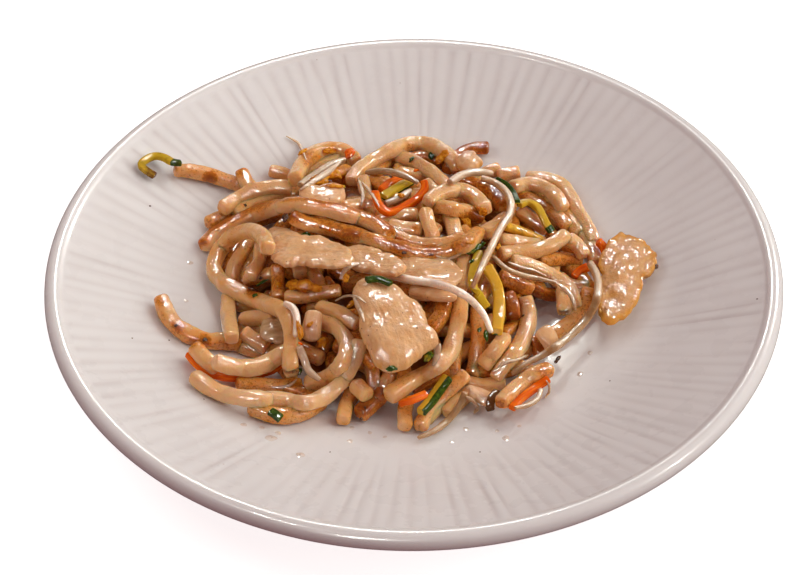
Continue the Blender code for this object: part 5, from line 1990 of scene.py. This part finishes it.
def make_bits():
    """The bits of each kind, joined into one piece for the kind."""
    scraps = Skin()
    for seed, (*bit, rind) in enumerate(GREEN_BITS):
        make_bit(scraps, *bit, seed + 0.5, skin=rind, green=0.7, toast=0.05)
    made = [scraps.piece("courgette_scraps", courgette_look(), "courgette")]
    for name, bits, look, slot in (
        ("egg_crumbs", EGG_BITS, egg_look(), "egg"),
        ("burnt_crumbs", BURNT_BITS, burnt_look(), "noodles"),
        ("carrot_ends", CARROT_BITS, carrot_look(), "carrot"),
    ):
        skin = Skin()
        for seed, bit in enumerate(bits):
            make_bit(skin, *bit, seed * 1.7 + len(name))
        made.append(skin.piece(name, look, slot))
    return made


print("kinds of bits:", len(make_bits()))


# %% Threads of sprout and onion
# width at the middle in mm, how flat, and the picture points along each
THREADS = """
1.4 0.9: 286,136 292,139 298,143 303,152 306,160
1.8 0.8: 353,295 357,303 361,312 364,322
2.6 0.9: 440,344 437,352 436,359 433,366
2.2 0.6: 340,279 345,270 354,264 364,264
1.8 0.6: 362,182 369,190 375,199 379,206
1.6 0.6: 361,206 363,196 361,186 358,178
2.8 0.7: 300,190 314,181 328,172 341,161
2.2 0.6: 466,396 473,401 478,408 474,413
1.6 0.7: 335,301 346,296 357,297 366,303
1.6 0.7: 436,256 446,259 455,257 462,252
2.0 0.7: 556,283 566,290 573,300 576,311
1.4 0.7: 508,262 520,267 533,270 546,276
1.8 0.7: 528,355 516,360 505,363 492,372
1.2 0.8: 545,398 549,392 549,385 546,380
1.4 0.7: 297,379 290,385 282,387 272,387
"""
THREAD_GIRTH = ((0.0, 0.35), (0.2, 0.9), (0.6, 1.0), (1.0, 0.4))
THREAD_POINTS = 26
THREAD_SIDES = 10
THREAD_STEP = 0.7
THREAD_LIFT = 0.30
THREAD_EVENING = 4


def make_threads():
    """Thin tails of sprout and strings of onion, lying on what is under them."""
    skin = Skin()
    for seed, (_, (width, flat), route) in enumerate(table(THREADS)):
        pixels = smooth_route(route, THREAD_POINTS)
        line = np.array([land(pixel) for pixel in pixels])
        level = np.maximum(evened(line[:, 2], THREAD_EVENING), line[:, 2])
        line = on_sight_line(pixels, level + THREAD_LIFT * width)
        half = width / 2.0
        tubed = tube(
            line, half, half * flat, SPROUT_SHAPE, THREAD_SIDES, THREAD_STEP, 300.0 + seed,
            uneven=0.10, blunt=0.5, girth=THREAD_GIRTH)
        skin.add_tube(tubed, half, 300 + seed, toast=0.2, pale=0.2)
    return skin.piece("sprout_tails", sprout_look(), "sprout")


threads = make_threads()
print("thread faces:", len(threads.data.polygons))


# %% [markdown]
# ## Oil on the plate
# A few thin drops of oil ran off the food, and tiny burnt specks lie on the glaze. Both are low
# domes, set a hair into the plate so no gap shows. Glass-clear drops turn black at the rim at
# this size; a warm, very glossy white reads as oil on glaze.

# %% Oil drops and specks
# picture point, and radius in mm
OIL_DROPS = (
    (300, 455, 2.2), (350, 440, 1.8), (272, 438, 2.6), (278, 431, 1.6), (370, 432, 1.4),
    (505, 437, 2.0), (580, 373, 1.8), (497, 430, 1.3), (262, 427, 1.2), (352, 427, 1.5),
    (466, 428, 1.7), (385, 436, 1.2), (590, 352, 1.4), (186, 300, 1.2), (190, 262, 1.4),
    (244, 424, 1.6), (520, 425, 1.2), (452, 441, 1.2),
)
PLATE_SPECKS = (
    (132, 337), (757, 299), (169, 339), (204, 398), (610, 380), (330, 452), (150, 205),
    (480, 452),
)
DROP_REACH = 0.8
DROP_HEIGHT = 0.13
SPECK_RADIUS = 0.34
SPECK_HEIGHT = 0.18
DOME_RINGS = 8
DOME_SIDES = 28
DOME_SINK = 0.04


def oil_look():
    """A thin drop of oil: nearly the glaze under it, a little warmer, with a hard shine."""
    look = Look("oil drops")
    tint = look.ramp(look.noise(2.0), (0.3, (0.70, 0.585, 0.50)), (0.7, (0.76, 0.69, 0.65)))
    look.set(Base_Color=tint, Roughness=0.05, Specular_IOR_Level=0.5)
    look.relief((look.noise(2.0), 0.03))
    oil_film(look, 1.0, 0.03)
    return look


def make_dome(skin, pixel, radius, height, seed):
    """A low dome on the plate with a wavy outline."""
    x0, y0, _ = land(pixel)
    angle = 2.0 * math.pi * np.arange(DOME_SIDES) / DOME_SIDES
    circle = np.stack((np.cos(angle), np.sin(angle), 0.0 * angle), axis=1)
    wavy = 1.0 + 0.5 * wander(circle, 1.3, seed)
    rings = []
    for share in np.linspace(1.0, 0.08, DOME_RINGS):
        x = x0 + radius * share * wavy * circle[:, 0]
        y = y0 + radius * share * wavy * circle[:, 1]
        z = plate_top(np.hypot(x, y)) + height * (1.0 - share * share) - DOME_SINK
        rings.append(np.stack((x, y, z), axis=1))
    skin.add(*stacked(rings))


def make_oil():
    """Drops of oil, and burnt specks on the plate."""
    skin = Skin()
    for seed, (x, y, radius) in enumerate(OIL_DROPS):
        make_dome(skin, (x, y), DROP_REACH * radius, DROP_HEIGHT * radius, seed * 2.3)
    drops = skin.piece("oil_drops", oil_look(), "glaze")
    skin = Skin()
    for seed, pixel in enumerate(PLATE_SPECKS):
        make_dome(skin, pixel, SPECK_RADIUS, SPECK_HEIGHT, seed * 3.1)
    return drops, skin.piece("plate_specks", burnt_look(), "noodles")


print("oil pieces:", len(make_oil()))
